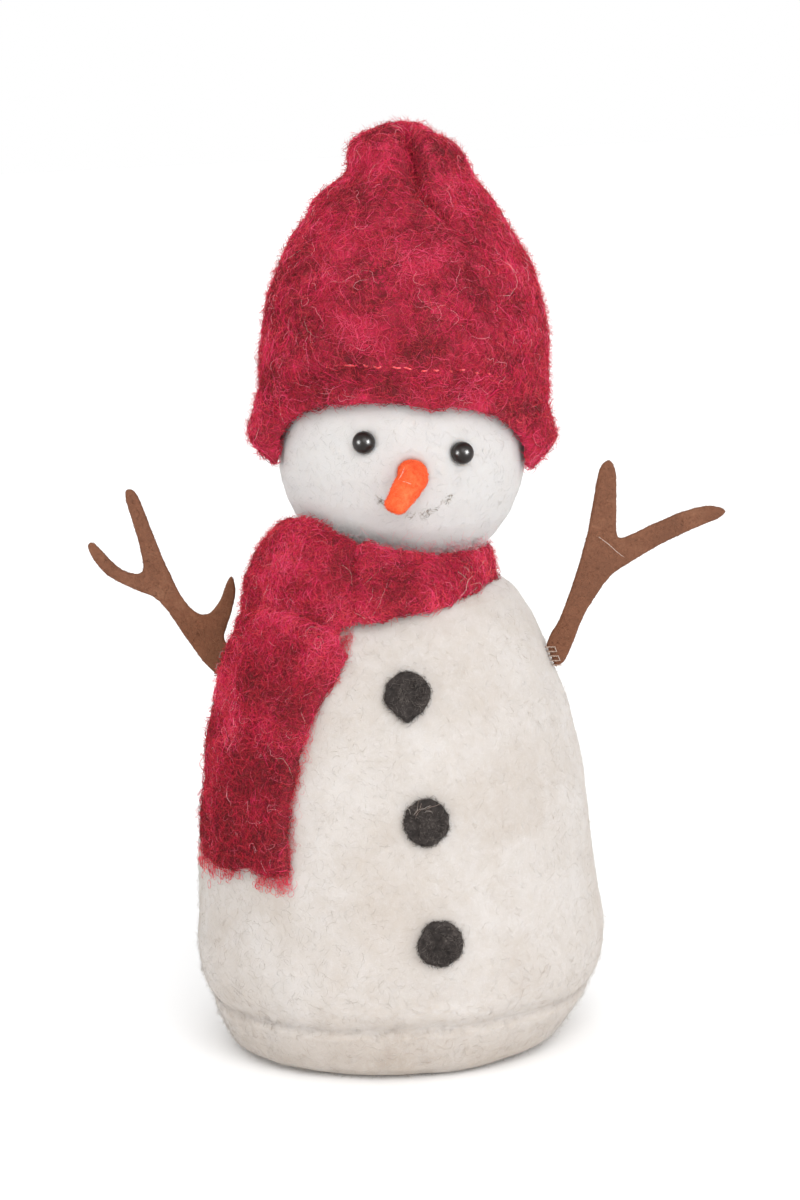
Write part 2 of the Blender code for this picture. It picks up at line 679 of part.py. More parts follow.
def make_arm(side):
    """One forked arm, with bevelled edges, whose origin lies on its sewn root."""
    felt = plain_material("arm_felt", (0.235, 0.125, 0.075), 0.9)
    arm = ARMS[side]
    along, facing, root = arm_axes(arm)
    outline = smooth_line([root[1], *arm["outline"], root[0]], ARM_CURVE_STEPS)
    shape = bmesh.new()
    faces = []
    for lift in (-ARM_THICKNESS / 2, ARM_THICKNESS / 2):
        faces.append([shape.verts.new(arm_point(arm, along, facing, s, z, lift)) for s, z in outline])
    lower, upper = faces
    big_faces = [shape.faces.new(lower), shape.faces.new(list(reversed(upper)))]
    for i in range(len(outline)):
        j = (i + 1) % len(outline)
        shape.faces.new((lower[j], lower[i], upper[i], upper[j]))
    bmesh.ops.recalc_face_normals(shape, faces=shape.faces)
    rims = [edge for face in big_faces for edge in face.edges]
    bmesh.ops.bevel(shape, geom=rims, offset=ARM_EDGE, segments=1, affect="EDGES", clamp_overlap=True)
    add_object(f"arm_{side}", shape, felt, root_axis(arm)[0])


def root_axis(arm):
    """Two points of the line that the arm bends about, at its sewn edge."""
    along, facing, root = arm_axes(arm)
    inset = ARM_THICKNESS / 2
    return [arm_point(arm, along, facing, s + inset, z, 0.0) for s, z in root]


def make_stitches(side):
    """Thread that wraps back and forth round the root edge of an arm."""
    thread = plain_material("arm_thread", (0.72, 0.58, 0.46), 0.7)
    arm = ARMS[side]
    along, facing, _ = arm_axes(arm)
    low, high = root_axis(arm)
    away = ARM_THICKNESS / 2 + STITCH_RADIUS + 0.3
    line = []
    for i in range(STITCHES):
        point = low.lerp(high, 0.12 + 0.76 * i / (STITCHES - 1))
        wrap = [point + along * STITCH_REACH + facing * away]
        for k in range(5):
            turn = math.pi * k / 4
            wrap.append(point + away * (facing * math.cos(turn) - along * math.sin(turn)))
        wrap.append(point + along * STITCH_REACH - facing * away)
        line += wrap if i % 2 == 0 else list(reversed(wrap))
    add_object(f"arm_{side}_stitches", tube(line, STITCH_RADIUS, 4), thread, low)


def main():
    clear_scene()
    peg_guide = make_peg()
    core_bottom = make_base()
    make_body(core_bottom, peg_guide)
    head_skin = make_head(peg_guide)
    make_eyes(head_skin)
    make_nose(head_skin)
    make_mouth()
    make_buttons()
    make_hat()
    make_scarf()
    for side in ARMS:
        make_arm(side)
        make_stitches(side)


main()
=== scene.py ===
import json
import math

import bmesh
import bpy
import numpy as np
from mathutils import Matrix, Vector, noise
from mathutils.bvhtree import BVHTree


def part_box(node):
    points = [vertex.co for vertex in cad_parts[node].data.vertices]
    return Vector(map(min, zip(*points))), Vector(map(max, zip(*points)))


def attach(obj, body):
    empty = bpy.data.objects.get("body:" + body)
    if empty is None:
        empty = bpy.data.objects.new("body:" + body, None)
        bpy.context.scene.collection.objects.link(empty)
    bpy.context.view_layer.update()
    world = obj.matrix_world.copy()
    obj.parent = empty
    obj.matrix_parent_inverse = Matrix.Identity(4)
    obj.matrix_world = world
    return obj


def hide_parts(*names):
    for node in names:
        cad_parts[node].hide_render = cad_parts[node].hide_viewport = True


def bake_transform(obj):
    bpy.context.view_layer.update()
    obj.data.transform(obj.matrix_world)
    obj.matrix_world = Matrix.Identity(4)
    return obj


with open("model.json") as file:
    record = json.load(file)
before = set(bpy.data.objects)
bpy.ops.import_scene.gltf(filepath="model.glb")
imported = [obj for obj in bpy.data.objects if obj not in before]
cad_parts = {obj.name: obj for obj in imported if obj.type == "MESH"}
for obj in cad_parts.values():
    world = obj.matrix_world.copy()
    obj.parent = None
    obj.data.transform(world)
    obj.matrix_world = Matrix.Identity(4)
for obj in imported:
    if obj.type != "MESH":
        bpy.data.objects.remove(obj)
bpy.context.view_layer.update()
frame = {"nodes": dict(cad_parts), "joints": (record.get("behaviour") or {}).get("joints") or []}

MM = 0.001

# Camera: its direction from the target, its roll and its distance.
VIEW_AZIMUTH = -10.0
VIEW_ELEVATION = 9.0
VIEW_ROLL = 2.6
VIEW_DISTANCE = 0.850
VIEW_TARGET = Vector((0.00375, -0.00046, 0.11323))
LENS = 100.0

# Where the main forms are, from the frame.
HEAD_MIDDLE = np.array(sum(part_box("head_core"), Vector()) / 2 / MM)
SEAM_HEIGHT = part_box("base_cap")[1].z / MM
HAT_UP = Vector(next(j for j in frame["joints"] if j["name"] == "hat_lift")["axis"]).normalized()
TAIL_LOW, TAIL_HIGH = (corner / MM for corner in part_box("scarf_tail"))

# The scarf's fold over the shoulder: its middle and half its width as azimuths, and how far its ends drop.
FOLD_MIDDLE, FOLD_REACH, FOLD_DROP = -55.5, 32.5, 6.0

# The running stitch along the hat's hem: azimuths in the hat's frame, and its height at the middle.
HEM_STITCH_FIRST, HEM_STITCH_LAST = -44.0, 24.0
HEM_STITCH_PITCH, HEM_STITCH_LENGTH = 5.6, 2.8
HEM_STITCH_HEIGHT = 22.0
HEM_STITCH_RADIUS = 0.24

# How many thread ends show at each place along the smile, which has 16 places from left to right.
MOUTH_PLACES = 16
MOUTH_ENDS = {0: 22, 1: 12, 5: 5, 6: 7, 7: 6, 8: 4, 9: 13, 10: 26, 11: 6, 12: 7, 13: 3, 14: 16, 15: 18}

BEAD_HOLE_RADIUS = 0.35

# Colours, as linear RGB.
CRIMSONS = [
    (0.14, 0.005, 0.017), (0.31, 0.007, 0.034), (0.51, 0.012, 0.062), (0.72, 0.024, 0.110),
    (0.82, 0.080, 0.190),
]
CRIMSON_SHARES = [0.28, 0.25, 0.21, 0.17, 0.09]
# Lighter crimsons for the standing nap and loose ends: partly their own tone, partly painted light through
# the fibres.
CRIMSON_RIM = [(0.51, 0.012, 0.038), (0.68, 0.028, 0.065), (0.77, 0.075, 0.100)]
PINKS = [(0.74, 0.10, 0.16), (0.84, 0.30, 0.34)]
CREAMS = [
    (0.32, 0.268, 0.222), (0.377, 0.328, 0.285), (0.425, 0.38, 0.342), (0.458, 0.422, 0.392),
    (0.497, 0.468, 0.446),
]
WHITES = [(0.49, 0.47, 0.46), (0.525, 0.51, 0.50), (0.56, 0.55, 0.54)]
BROWNS = [(0.11, 0.042, 0.020), (0.165, 0.063, 0.031), (0.27, 0.130, 0.072)]
CHARCOALS = [(0.013, 0.010, 0.009), (0.034, 0.026, 0.023), (0.17, 0.145, 0.13)]
ORANGES = [(0.76, 0.075, 0.014), (0.91, 0.128, 0.032), (0.98, 0.205, 0.072)]
PALES = [(0.62, 0.46, 0.38), (0.80, 0.70, 0.63)]
GREYS = [(0.13, 0.105, 0.080), (0.28, 0.235, 0.19), (0.42, 0.37, 0.32)]
RIM_GLOW = (1.0, 0.22, 0.13)


# ---------------------------------------------------------------- materials

class Graph:
    """Adds nodes to one material, and links them."""

    def __init__(self, name):
        self.material = bpy.data.materials.new(name)
        self.material.use_nodes = True
        self.tree = self.material.node_tree
        self.shader = self.tree.nodes["Principled BSDF"]

    def add(self, kind, values=(), **settings):
        """A node with some settings, and values or links for its inputs by name or number."""
        node = self.tree.nodes.new(kind)
        for key, value in settings.items():
            setattr(node, key, value)
        for key, value in dict(values).items():
            if isinstance(value, bpy.types.NodeSocket):
                self.tree.links.new(value, node.inputs[key])
            else:
                node.inputs[key].default_value = value
        return node

    def noise(self, scale, detail=2.0, distortion=0.0):
        """A noise's value over the object, with this many cells to a metre."""
        place = self.add("ShaderNodeTexCoord").outputs["Object"]
        values = {"Vector": place, "Scale": scale, "Detail": detail, "Distortion": distortion}
        return self.add("ShaderNodeTexNoise", values).outputs[0]

    def by_height(self, low, high, low_value, high_value):
        """One value below the low height, in metres, and another above the high one."""
        place = self.add("ShaderNodeTexCoord").outputs["Object"]
        height = self.add("ShaderNodeSeparateXYZ", {0: place}).outputs["Z"]
        values = {"Value": height, "From Min": low, "From Max": high}
        values.update({"To Min": low_value, "To Max": high_value})
        return self.add("ShaderNodeMapRange", values).outputs[0]

    def math(self, operation, *values):
        """The result of one Math node."""
        return self.add("ShaderNodeMath", dict(enumerate(values)), operation=operation).outputs[0]

    def strands(self, scale, width, distortion=1.6):
        """Thin curly lines, 1 on a line and 0 between lines: where a noise crosses its middle value."""
        offset = self.math("SUBTRACT", self.noise(scale, 1.0, distortion), 0.5)
        share = self.math("DIVIDE", self.math("ABSOLUTE", offset), width)
        return self.math("SUBTRACT", 1.0, self.math("MINIMUM", share, 1.0))

    def ramp(self, factor, colours):
        """A colour ramp through evenly spaced colours."""
        node = self.add("ShaderNodeValToRGB", {"Fac": factor})
        stops = node.color_ramp.elements
        while len(stops) < len(colours):
            stops.new(0.5)
        for i, colour in enumerate(colours):
            stops[i].position = i / (len(colours) - 1)
            stops[i].color = (*colour, 1.0)
        return node.outputs[0]

    def bump(self, height, distance, strength=1.0):
        """Sends a height to the shader's normal."""
        values = {"Height": height, "Distance": distance, "Strength": strength}
        self.tree.links.new(self.add("ShaderNodeBump", values).outputs[0], self.shader.inputs["Normal"])

    def set(self, **values):
        """Values or links for the shader's inputs, with _ for a space in their names."""
        for key, value in values.items():
            socket = self.shader.inputs[key.replace("_", " ")]
            if isinstance(value, bpy.types.NodeSocket):
                self.tree.links.new(value, socket)
            else:
                socket.default_value = value


def felt_material(name, colours, patch, strand, depth, contrast=1.0, glow=None, soft=0.0, shift=None):
    """Matted wool: blotches, fluff, curly strands and a fine grain; light soaks into soft wool.

    Patch and strand are the cells to a metre of its blotches and its strands, and depth is how deep the
    strands look, in millimetres. The shift is two heights, then what each of them adds to the tone,
    as painted shade that darkens the wool low down.
    """
    g = Graph(name)
    blotch = g.noise(patch, 3.0, 0.6)
    fluff = g.noise(patch * 6.0, 2.0, 1.0)
    coarse = g.strands(strand, 0.045)
    fine = g.strands(strand * 2.1, 0.06)
    grain = g.noise(strand * 5.0, 2.0)
    tone = g.math("MULTIPLY_ADD", blotch, 1.9 * contrast, 0.4 - 0.95 * contrast)
    tone = g.math("MULTIPLY_ADD", fluff, 0.9 * contrast, g.math("SUBTRACT", tone, 0.45 * contrast))
    tone = g.math("MULTIPLY_ADD", coarse, 0.30 * contrast, tone)
    tone = g.math("MULTIPLY_ADD", fine, 0.18 * contrast, tone)
    # Painted shade: the tone drops low down on the piece, in place of the shade that falls there.
    if shift:
        tone = g.math("ADD", tone, g.by_height(*shift))
    g.set(Base_Color=g.ramp(tone, colours), Roughness=0.95)
    g.set(Sheen_Weight=0.38 if glow else 0.15, Sheen_Roughness=0.5, Sheen_Tint=(*(glow or colours[-1]), 1.0))
    g.set(Specular_IOR_Level=0.15, Subsurface_Weight=soft, Subsurface_Radius=(1.0, 0.85, 0.7))
    g.set(Subsurface_Scale=3.5 * MM)
    height = g.math("MULTIPLY_ADD", fine, 0.5, coarse)
    height = g.math("MULTIPLY_ADD", grain, 0.8, height)
    g.bump(height, depth * MM, 0.8)
    return g.material


def fibre_material(name, colour, glow):
    """One shade of loose wool fibre."""
    g = Graph(name)
    g.set(Base_Color=(*colour, 1.0), Roughness=0.9, Specular_IOR_Level=0.1)
    g.set(Sheen_Weight=0.35 if glow else 0.2, Sheen_Roughness=0.5, Sheen_Tint=(*(glow or colour), 1.0))
    return g.material


def fibre_palette(name, colours, glow=None):
    """Loose fibres in several shades, from dark to light."""
    return [fibre_material(f"{name}_fibre_{i}", colour, glow) for i, colour in enumerate(colours)]


# ---------------------------------------------------------------- meshes

def link(name, mesh):
    """A new object for a mesh."""
    made = bpy.data.objects.new(name, mesh)
    bpy.context.scene.collection.objects.link(made)
    return made


def applied(made):
    """The object with its modifiers made real."""
    graph = bpy.context.evaluated_depsgraph_get()
    mesh = bpy.data.meshes.new_from_object(made.evaluated_get(graph))
    made.modifiers.clear()
    made.data = mesh
    return made


def dense_copy(name, nodes, voxel, smoothing=3, extra=None):
    """One evenly meshed object with the shape of these CAD nodes, and of an extra mesh."""
    shape = bmesh.new()
    for node in nodes:
        shape.from_mesh(frame["nodes"][node].data)
    if extra:
        shape.from_mesh(extra)
    mesh = bpy.data.meshes.new(name)
    shape.to_mesh(mesh)
    shape.free()
    made = link(name, mesh)
    even = made.modifiers.new("even", "REMESH")
    even.mode = "VOXEL"
    even.voxel_size = voxel * MM
    soften = made.modifiers.new("soften", "SMOOTH")
    soften.factor = 0.5
    soften.iterations = smoothing
    return applied(made)


def read_points(made):
    """Vertex positions in millimetres and vertex normals."""
    count = len(made.data.vertices)
    points = np.zeros(count * 3)
    made.data.vertices.foreach_get("co", points)
    normals = np.zeros(count * 3)
    made.data.vertex_normals.foreach_get("vector", normals)
    return points.reshape(-1, 3) / MM, normals.reshape(-1, 3)


def write_points(made, points):
    """Moves the vertices to positions in millimetres."""
    made.data.vertices.foreach_set("co", (points * MM).ravel())
    made.data.update()


def lumps(points, size, seed):
    """Smooth seeded noise at each point, from -1 to 1, with features of about this size."""
    shift = Vector((7.31 * seed, 3.17 * seed, 5.77 * seed))
    return np.array([noise.noise(Vector(p) / size + shift) for p in points])


def roughen(made, layers, seed):
    """Pushes the surface in and out by layers of (feature size, height)."""
    points, normals = read_points(made)
    push = np.zeros(len(points))
    for i, (size, height) in enumerate(layers):
        push += height * lumps(points, size, seed + i)
    write_points(made, points + normals * push[:, None])


def azimuths(points):
    """Azimuth of each point about the z axis."""
    return np.degrees(np.arctan2(points[:, 0], -points[:, 1]))


def ramp(values, low, high):
    """0 below low, 1 above high, and smooth between."""
    t = np.clip((values - low) / (high - low), 0.0, 1.0)
    return t * t * (3 - 2 * t)


def bell(values, width):
    """A bump of height 1 at 0."""
    return np.exp(-((values / width) ** 2))


def turn_between(values, middle):
    """Signed difference of azimuths, from -180 to 180."""
    return (values - middle + 180.0) % 360.0 - 180.0


def tube_mesh(name, lines, radius, sides=8):
    """Closed tubes with rounded ends along lines of points, in one mesh."""
    shape = bmesh.new()
    for line in lines:
        points = [Vector(point) for point in line]
        last = len(points) - 1
        across, rings = None, []
        for i, point in enumerate(points):
            along = (points[min(i + 1, last)] - points[max(i - 1, 0)]).normalized()
            across = (across or along.orthogonal()).normalized()
            across = (across - along * across.dot(along)).normalized()
            other = along.cross(across)
            width = radius * (0.5 if i in (0, last) else 1.0)
            turns = [2 * math.pi * k / sides for k in range(sides)]
            ring = [point + width * (across * math.cos(a) + other * math.sin(a)) for a in turns]
            rings.append([shape.verts.new(p * MM) for p in ring])
        shape.faces.new(list(reversed(rings[0])))
        shape.faces.new(rings[-1])
        for ring, following in zip(rings, rings[1:]):
            for k in range(sides):
                j = (k + 1) % sides
                shape.faces.new((ring[k], ring[j], following[j], following[k]))
    bmesh.ops.recalc_face_normals(shape, faces=shape.faces)
    mesh = bpy.data.meshes.new(name)
    shape.to_mesh(mesh)
    shape.free()
    return mesh


def frame_middle(node):
    """The middle of a CAD node's box, in millimetres."""
    return sum(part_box(node), Vector()) / 2 / MM


def near(spot, size):
    """A share for sampling that falls off round one point."""
    return lambda points, normals: bell(np.linalg.norm(points - np.array(spot), axis=1), size) + 1e-12


def towards(direction):
    """A heading for fibres: near one direction, with some scatter."""
    return lambda roots, normals, rng: np.array(direction) + rng.normal(0.0, 0.35, (len(roots), 3))


def dress(made, material, slot, *nodes):
    """Gives a piece its material and finish, and lets it stand for CAD nodes."""
    made.data.materials.clear()
    made.data.materials.append(material)
    made.data.shade_smooth()
    if nodes:
        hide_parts(*nodes)
    return made


# ---------------------------------------------------------------- loose fibres

# A style of fibre, in millimetres: how long and thick it is and how far it lifts off the surface, as ranges,
# how much it curls at each step, the share that stands up at one end, and the steps along it.
LAID = {"length": (5.0, 11.0), "radius": (0.06, 0.11), "lift": (0.15, 0.8), "curl": 0.55, "loose": 0.15,
        "steps": 7}
# A piece with more triangles than this is made as several.
TRIANGLES_PER_PIECE = 195000


class Surface:
    """A mesh to grow fibres on: even random samples of it, and its nearest point to any point."""

    def __init__(self, made):
        mesh = made.data
        mesh.calc_loop_triangles()
        self.points, _ = read_points(made)
        corners = np.zeros(len(mesh.loop_triangles) * 3, dtype=np.int32)
        mesh.loop_triangles.foreach_get("vertices", corners)
        self.corners = corners.reshape(-1, 3)
        self.tree = BVHTree.FromPolygons(self.points.tolist(), self.corners.tolist())
        a, b, c = (self.points[self.corners[:, k]] for k in range(3))
        across = np.cross(b - a, c - a)
        double = np.linalg.norm(across, axis=1)
        self.areas = double / 2
        self.normals = across / np.maximum(double, 1e-12)[:, None]
        self.centres = (a + b + c) / 3

    def sample(self, count, rng, keep):
        """Random points and their normals. keep gives each triangle's share from its centre and normal."""
        weights = self.areas * (keep(self.centres, self.normals) if keep else 1.0)
        chosen = rng.choice(len(self.areas), count, p=weights / weights.sum())
        u, v = rng.random(count), rng.random(count)
        over = u + v > 1
        u[over], v[over] = 1 - u[over], 1 - v[over]
        a, b, c = (self.points[self.corners[chosen, k]] for k in range(3))
        return a + (b - a) * u[:, None] + (c - a) * v[:, None], self.normals[chosen]

    def snap(self, points):
        """The nearest points of the surface, and its normals there."""
        found = [self.tree.find_nearest(Vector(p)) for p in points]
        return np.array([f[0] for f in found]), np.array([f[1] for f in found])


def unit(vectors):
    """Each vector with length 1."""
    return vectors / np.maximum(np.linalg.norm(vectors, axis=-1, keepdims=True), 1e-9)


def fibre_lines(surface, roots, normals, style, rng, heading=None):
    """The middle lines of fibres that wander over the surface from their roots, with its normals."""
    count, steps = len(roots), style["steps"]
    length = rng.uniform(*style["length"], count)
    lift = rng.uniform(*style["lift"], count)
    loose = rng.random(count) < style["loose"]
    start = rng.normal(size=(count, 3)) if heading is None else heading(roots, normals, rng)
    along = unit(start - normals * (start * normals).sum(1)[:, None])
    bend = rng.normal(0.0, style["curl"] * 0.6, count)
    if "loop" in style:
        bend = rng.choice((-1.0, 1.0), count) * rng.uniform(0.7, 1.3, count) * style["loop"]
    lines, ups = [roots], [normals]
    here, up = roots, normals
    for _ in range(steps - 1):
        turn = bend + rng.normal(0.0, style["curl"], count)
        across = np.cross(up, along)
        along = along * np.cos(turn)[:, None] + across * np.sin(turn)[:, None]
        here, up = surface.snap(here + along * (length / (steps - 1))[:, None])
        along = unit(along - up * (along * up).sum(1)[:, None])
        lines.append(here)
        ups.append(up)
    lines, ups = np.stack(lines, 1), np.stack(ups, 1)
    share = np.linspace(0.0, 1.0, steps)[None, :]
    if "droop" in style:
        return lines + ups * (lift[:, None] * (1 - style["droop"] * share))[:, :, None], ups
    arch = np.sin(math.pi * share) * lift[:, None] - 0.12
    rise = share**1.4 * (lift * style.get("stand", 2.2))[:, None] - 0.12
    height = np.where(loose[:, None], rise, arch)
    return lines + ups * height[:, :, None], ups


def fibre_mesh(name, lines, ups, radii, shades, palette):
    """Three-sided tubes with pointed ends along the lines."""
    count, steps, _ = lines.shape
    along = unit(np.gradient(lines, axis=1))
    side = unit(np.cross(along, ups))
    other = np.cross(side, along)
    share = np.linspace(0.0, 1.0, steps)[1:-1]
    taper = np.sqrt(np.sin(math.pi * (0.12 + 0.80 * share)))
    width = (radii[:, None] * taper[None, :])[:, :, None]
    rings = []
    for k in range(3):
        angle = 2 * math.pi * k / 3 + math.pi / 2
        offset = side[:, 1:-1] * math.cos(angle) + other[:, 1:-1] * math.sin(angle)
        rings.append(lines[:, 1:-1] + offset * width)
    tubes = np.stack(rings, 2).reshape(count, -1, 3)
    points = np.concatenate([lines[:, :1], tubes, lines[:, -1:]], 1)
    per = points.shape[1]
    template = []
    for k in range(3):
        j = (k + 1) % 3
        template.append((0, 1 + j, 1 + k))
        for r in range(steps - 3):
            a, b = 1 + 3 * r + k, 1 + 3 * r + j
            template += [(a, b, b + 3), (a, b + 3, a + 3)]
        last = 1 + 3 * (steps - 3)
        template.append((last + k, last + j, per - 1))
    template = np.array(template)
    faces = (template[None] + (np.arange(count) * per)[:, None, None]).reshape(-1, 3)
    mesh = bpy.data.meshes.new(name)
    mesh.vertices.add(count * per)
    mesh.vertices.foreach_set("co", (points * MM).ravel())
    mesh.loops.add(faces.size)
    mesh.loops.foreach_set("vertex_index", faces.ravel().astype(np.int32))
    mesh.polygons.add(len(faces))
    mesh.polygons.foreach_set("loop_start", np.arange(0, faces.size, 3, dtype=np.int32))
    for material in palette:
        mesh.materials.append(material)
    mesh.polygons.foreach_set("material_index", np.repeat(shades, len(template)).astype(np.int32))
    mesh.update(calc_edges=True)
    mesh.validate()
    mesh.shade_smooth()
    return link(name, mesh)


def shade_choice(points, weights, patch, patchy, rng, painted_shade_below=None):
    """A palette number for each fibre: patches mixed with chance, and painted shade below a height range."""
    score = patchy * lumps(points, patch, 11) * 2.0 + (1 - patchy) * rng.normal(size=len(points))
    # Painted shade: fibres below the height range take darker shades.
    if painted_shade_below:
        score -= 0.65 * (1 - ramp(points[:, 2], *painted_shade_below))
    rank = np.argsort(np.argsort(score)) / len(points)
    limits = np.cumsum(weights) / np.sum(weights)
    return np.minimum(np.searchsorted(limits, rank, side="right"), len(weights) - 1)


def grow(name, surface, count, seed, style, palette, weights, body, slot,
         keep=None, patch=8.0, patchy=0.5, heading=None, blend=False):
    """Pieces of loose fibre on a surface, each riding on a body, or with its place baked into its mesh when
    blend is set.
    """
    rng = np.random.default_rng(seed)
    made = []
    parts = math.ceil(count * (6 * style["steps"] - 12) / TRIANGLES_PER_PIECE)
    for part in range(parts):
        share = count // parts
        roots, normals = surface.sample(share, rng, keep)
        lines, ups = fibre_lines(surface, roots, normals, style, rng, heading)
        radii = rng.uniform(*style["radius"], share)
        shades = shade_choice(roots, weights, patch, patchy, rng, style.get("painted_shade_below"))
        label = f"{name}_{part + 1}" if parts > 1 else name
        fuzz = fibre_mesh(label, lines, ups, radii, shades, palette)
        if blend:
            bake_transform(fuzz)
        else:
            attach(fuzz, body)
        made.append(fuzz)
    return made


# ---------------------------------------------------------------- body and base

def outward(points, normals):
    """Faces that look away from the z axis."""
    flat = unit(points * (1, 1, 0))
    return ((flat * normals).sum(1) > 0.1).astype(float)


def clear_of_loops(points, normals):
    """The body's outside, but not round the thread loops that swing with the arms."""
    share = outward(points, normals)
    for side in ("left", "right"):
        low, high = (np.array(corner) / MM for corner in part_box(f"arm_{side}_stitches"))
        share[((points > low - 4.0) & (points < high + 4.0)).all(1)] = 0.0
    return share


# How far the sides bulge at each height, in millimetres.
SIDE_BULGE = [
    (0.0, -0.8), (1.5, 0.8), (3.0, 2.2), (8.0, 3.0), (13.0, 3.2), (21.0, 2.2), (28.0, 2.0), (36.0, 1.2),
    (60.0, 0.9), (100.0, 0.6), (125.0, 0.0),
]


def shape_body(made):
    """Bulges the low sides, rounds the foot off at the right, and keeps the seam as a soft groove."""
    points, _ = read_points(made)
    radius = np.linalg.norm(points[:, :2], axis=1)
    azimuth, height = azimuths(points), points[:, 2]
    grown = np.interp(height, *zip(*SIDE_BULGE)) - 0.9 * bell(height - SEAM_HEIGHT, 1.1)
    grown *= 1 - bell(turn_between(azimuth, -5.0), 24.0) * ramp(height, 18.0, 26.0)
    grown -= bell(turn_between(azimuth, 92.0), 48.0) * 4.6 * (1 - ramp(height, 2.0, 17.0))
    grown *= ramp(radius, 22.0, 34.0)
    points[:, :2] *= ((radius + grown) / np.maximum(radius, 1e-6))[:, None]
    points[:, 2] = np.maximum(points[:, 2], 0.0)
    write_points(made, points)


def make_body(palette):
    """The padded body and its foot, under a fine loose nap."""
    # Painted shade: the tone is lower below 24 mm, darkening the foot.
    wool = felt_material("body_wool", CREAMS, 50.0, 520.0, 0.015, 0.5, soft=0.4,
                         shift=(0.004, 0.024, 0.0, 0.32))
    body = dense_copy("body_wool", ["body_felt", "base_cap"], 1.0, 8)
    shape_body(body)
    roughen(body, [(22.0, 0.9), (7.0, 0.22)], 21)
    points, _ = read_points(body)
    points[:, 2] = np.maximum(points[:, 2], 0.0)
    write_points(body, points)
    dress(body, wool, "body_wool", "body_felt", "base_cap")
    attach(body, "figure")
    surface = Surface(body)

    def low_or_left(points, normals):
        azimuth, height = azimuths(points), points[:, 2]
        share = bell(turn_between(azimuth, -85.0), 40.0) + 1.2 * (1 - ramp(height, 10.0, 34.0))
        return share * clear_of_loops(points, normals)

    laid = {**LAID, "length": (3.0, 8.0), "radius": (0.014, 0.026), "lift": (0.02, 0.14), "steps": 6}
    weights = [0.06, 0.14, 0.28, 0.32, 0.20]
    grow("body_fuzz", surface, 28000, 41, laid, palette, weights, "figure", "body_wool", clear_of_loops)
    short = {**LAID, "length": (1.2, 3.0), "radius": (0.014, 0.024), "lift": (0.2, 0.9), "loose": 1.0,
             "steps": 5}
    grow("body_nap", surface, 9000, 43, short, palette, weights, "figure", "body_wool", clear_of_loops)
    strays = {**LAID, "length": (2.0, 5.0), "radius": (0.018, 0.03), "lift": (0.1, 0.8), "curl": 0.3,
              "loop": 0.4}
    grow("body_strays", surface, 4200, 45, strays, palette, [0.1, 0.1, 0.2, 0.2, 0.4], "figure", "body_wool",
         low_or_left)
    return surface


# ---------------------------------------------------------------- head and face

def make_head(palette, greys, pinks):
    """The white felt ball, with its sewn smile and pink hairs from the scarf on its chin."""
    wool = felt_material("head_wool", WHITES, 60.0, 520.0, 0.02, 0.25, soft=0.6)
    head = dense_copy("head_wool", ["head_felt"], 0.8, 6)
    roughen(head, [(13.0, 0.35), (5.0, 0.08)], 51)
    dress(head, wool, "head_wool", "head_felt")
    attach(head, "figure")
    surface = Surface(head)
    laid = {**LAID, "length": (2.0, 5.5), "radius": (0.016, 0.03), "lift": (0.03, 0.2), "steps": 6,
            "loose": 0.1}

    def face(points, normals):
        return (((points - HEAD_MIDDLE) * normals).sum(1) > 0).astype(float)

    def bare_of_beads(points, normals):
        gaps = [np.linalg.norm(points - np.array(frame_middle(f"eye_bead_{side}")), axis=1)
                for side in ("left", "right")]
        return face(points, normals) * (np.minimum(*gaps) > 4.5)

    grow("head_fuzz", surface, 9000, 52, laid, palette, [0.2, 0.4, 0.4], "figure", "head_wool", face)
    short = {**LAID, "length": (1.0, 2.6), "radius": (0.012, 0.02), "lift": (0.2, 0.8), "loose": 1.0,
             "steps": 5}
    grow("head_nap", surface, 5000, 54, short, palette, [0.1, 0.3, 0.6], "figure", "head_wool",
         bare_of_beads)

    def chin(points, normals):
        azimuth, height = azimuths(points - HEAD_MIDDLE), points[:, 2]
        top = np.interp(azimuth, [-60.0, -45.0, -20.0, 10.0, 60.0], [135.5, 135.0, 131.0, 128.5, 129.0])
        in_front = (azimuth > -70) & (azimuth < 46)
        return bell(height - top, 1.5) * in_front * face(points, normals) + 1e-12

    hair = {**LAID, "length": (2.0, 5.0), "radius": (0.02, 0.035), "lift": (0.4, 2.2), "curl": 0.8}
    shades = pinks + palette[-1:]
    grow("chin_hairs", surface, 1700, 53, hair, shades, [0.04, 0.13, 0.83], "figure", "scarf_wool", chin)
    make_mouth(surface, greys)
    return surface


def mouth_points():
    """Points along the smile, from the CAD thread's own vertices, left to right."""
    co = np.array([v.co for v in frame["nodes"]["mouth_thread"].data.vertices]) / MM
    low, high = co[:, 0].min(), co[:, 0].max()
    places = np.clip(((co[:, 0] - low) / (high - low) * MOUTH_PLACES).astype(int), 0, MOUTH_PLACES - 1)
    return np.array([co[places == i].mean(0) for i in range(MOUTH_PLACES)])


def make_mouth(surface, greys):
    """The smile: ends of thread, dense at its corners and under the nose."""
    line = mouth_points()
    rng = np.random.default_rng(57)
    roots = np.repeat(line[list(MOUTH_ENDS)], list(MOUTH_ENDS.values()), axis=0)
    roots, normals = surface.snap(roots + rng.normal(0.0, 0.42, roots.shape))
    style = {**LAID, "length": (0.9, 2.0), "lift": (0.1, 0.3), "steps": 6, "loose": 0.3, "curl": 0.6}
    lines, ups = fibre_lines(surface, roots, normals, style, rng, towards((1.0, 0.0, 0.1)))
    shades = rng.choice(len(greys), len(roots), p=[0.2, 0.4, 0.4])
    stitches = fibre_mesh("mouth_stitches", lines, ups, rng.uniform(0.02, 0.045, len(roots)), shades, greys)
    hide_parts("mouth_thread")
    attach(stitches, "figure")


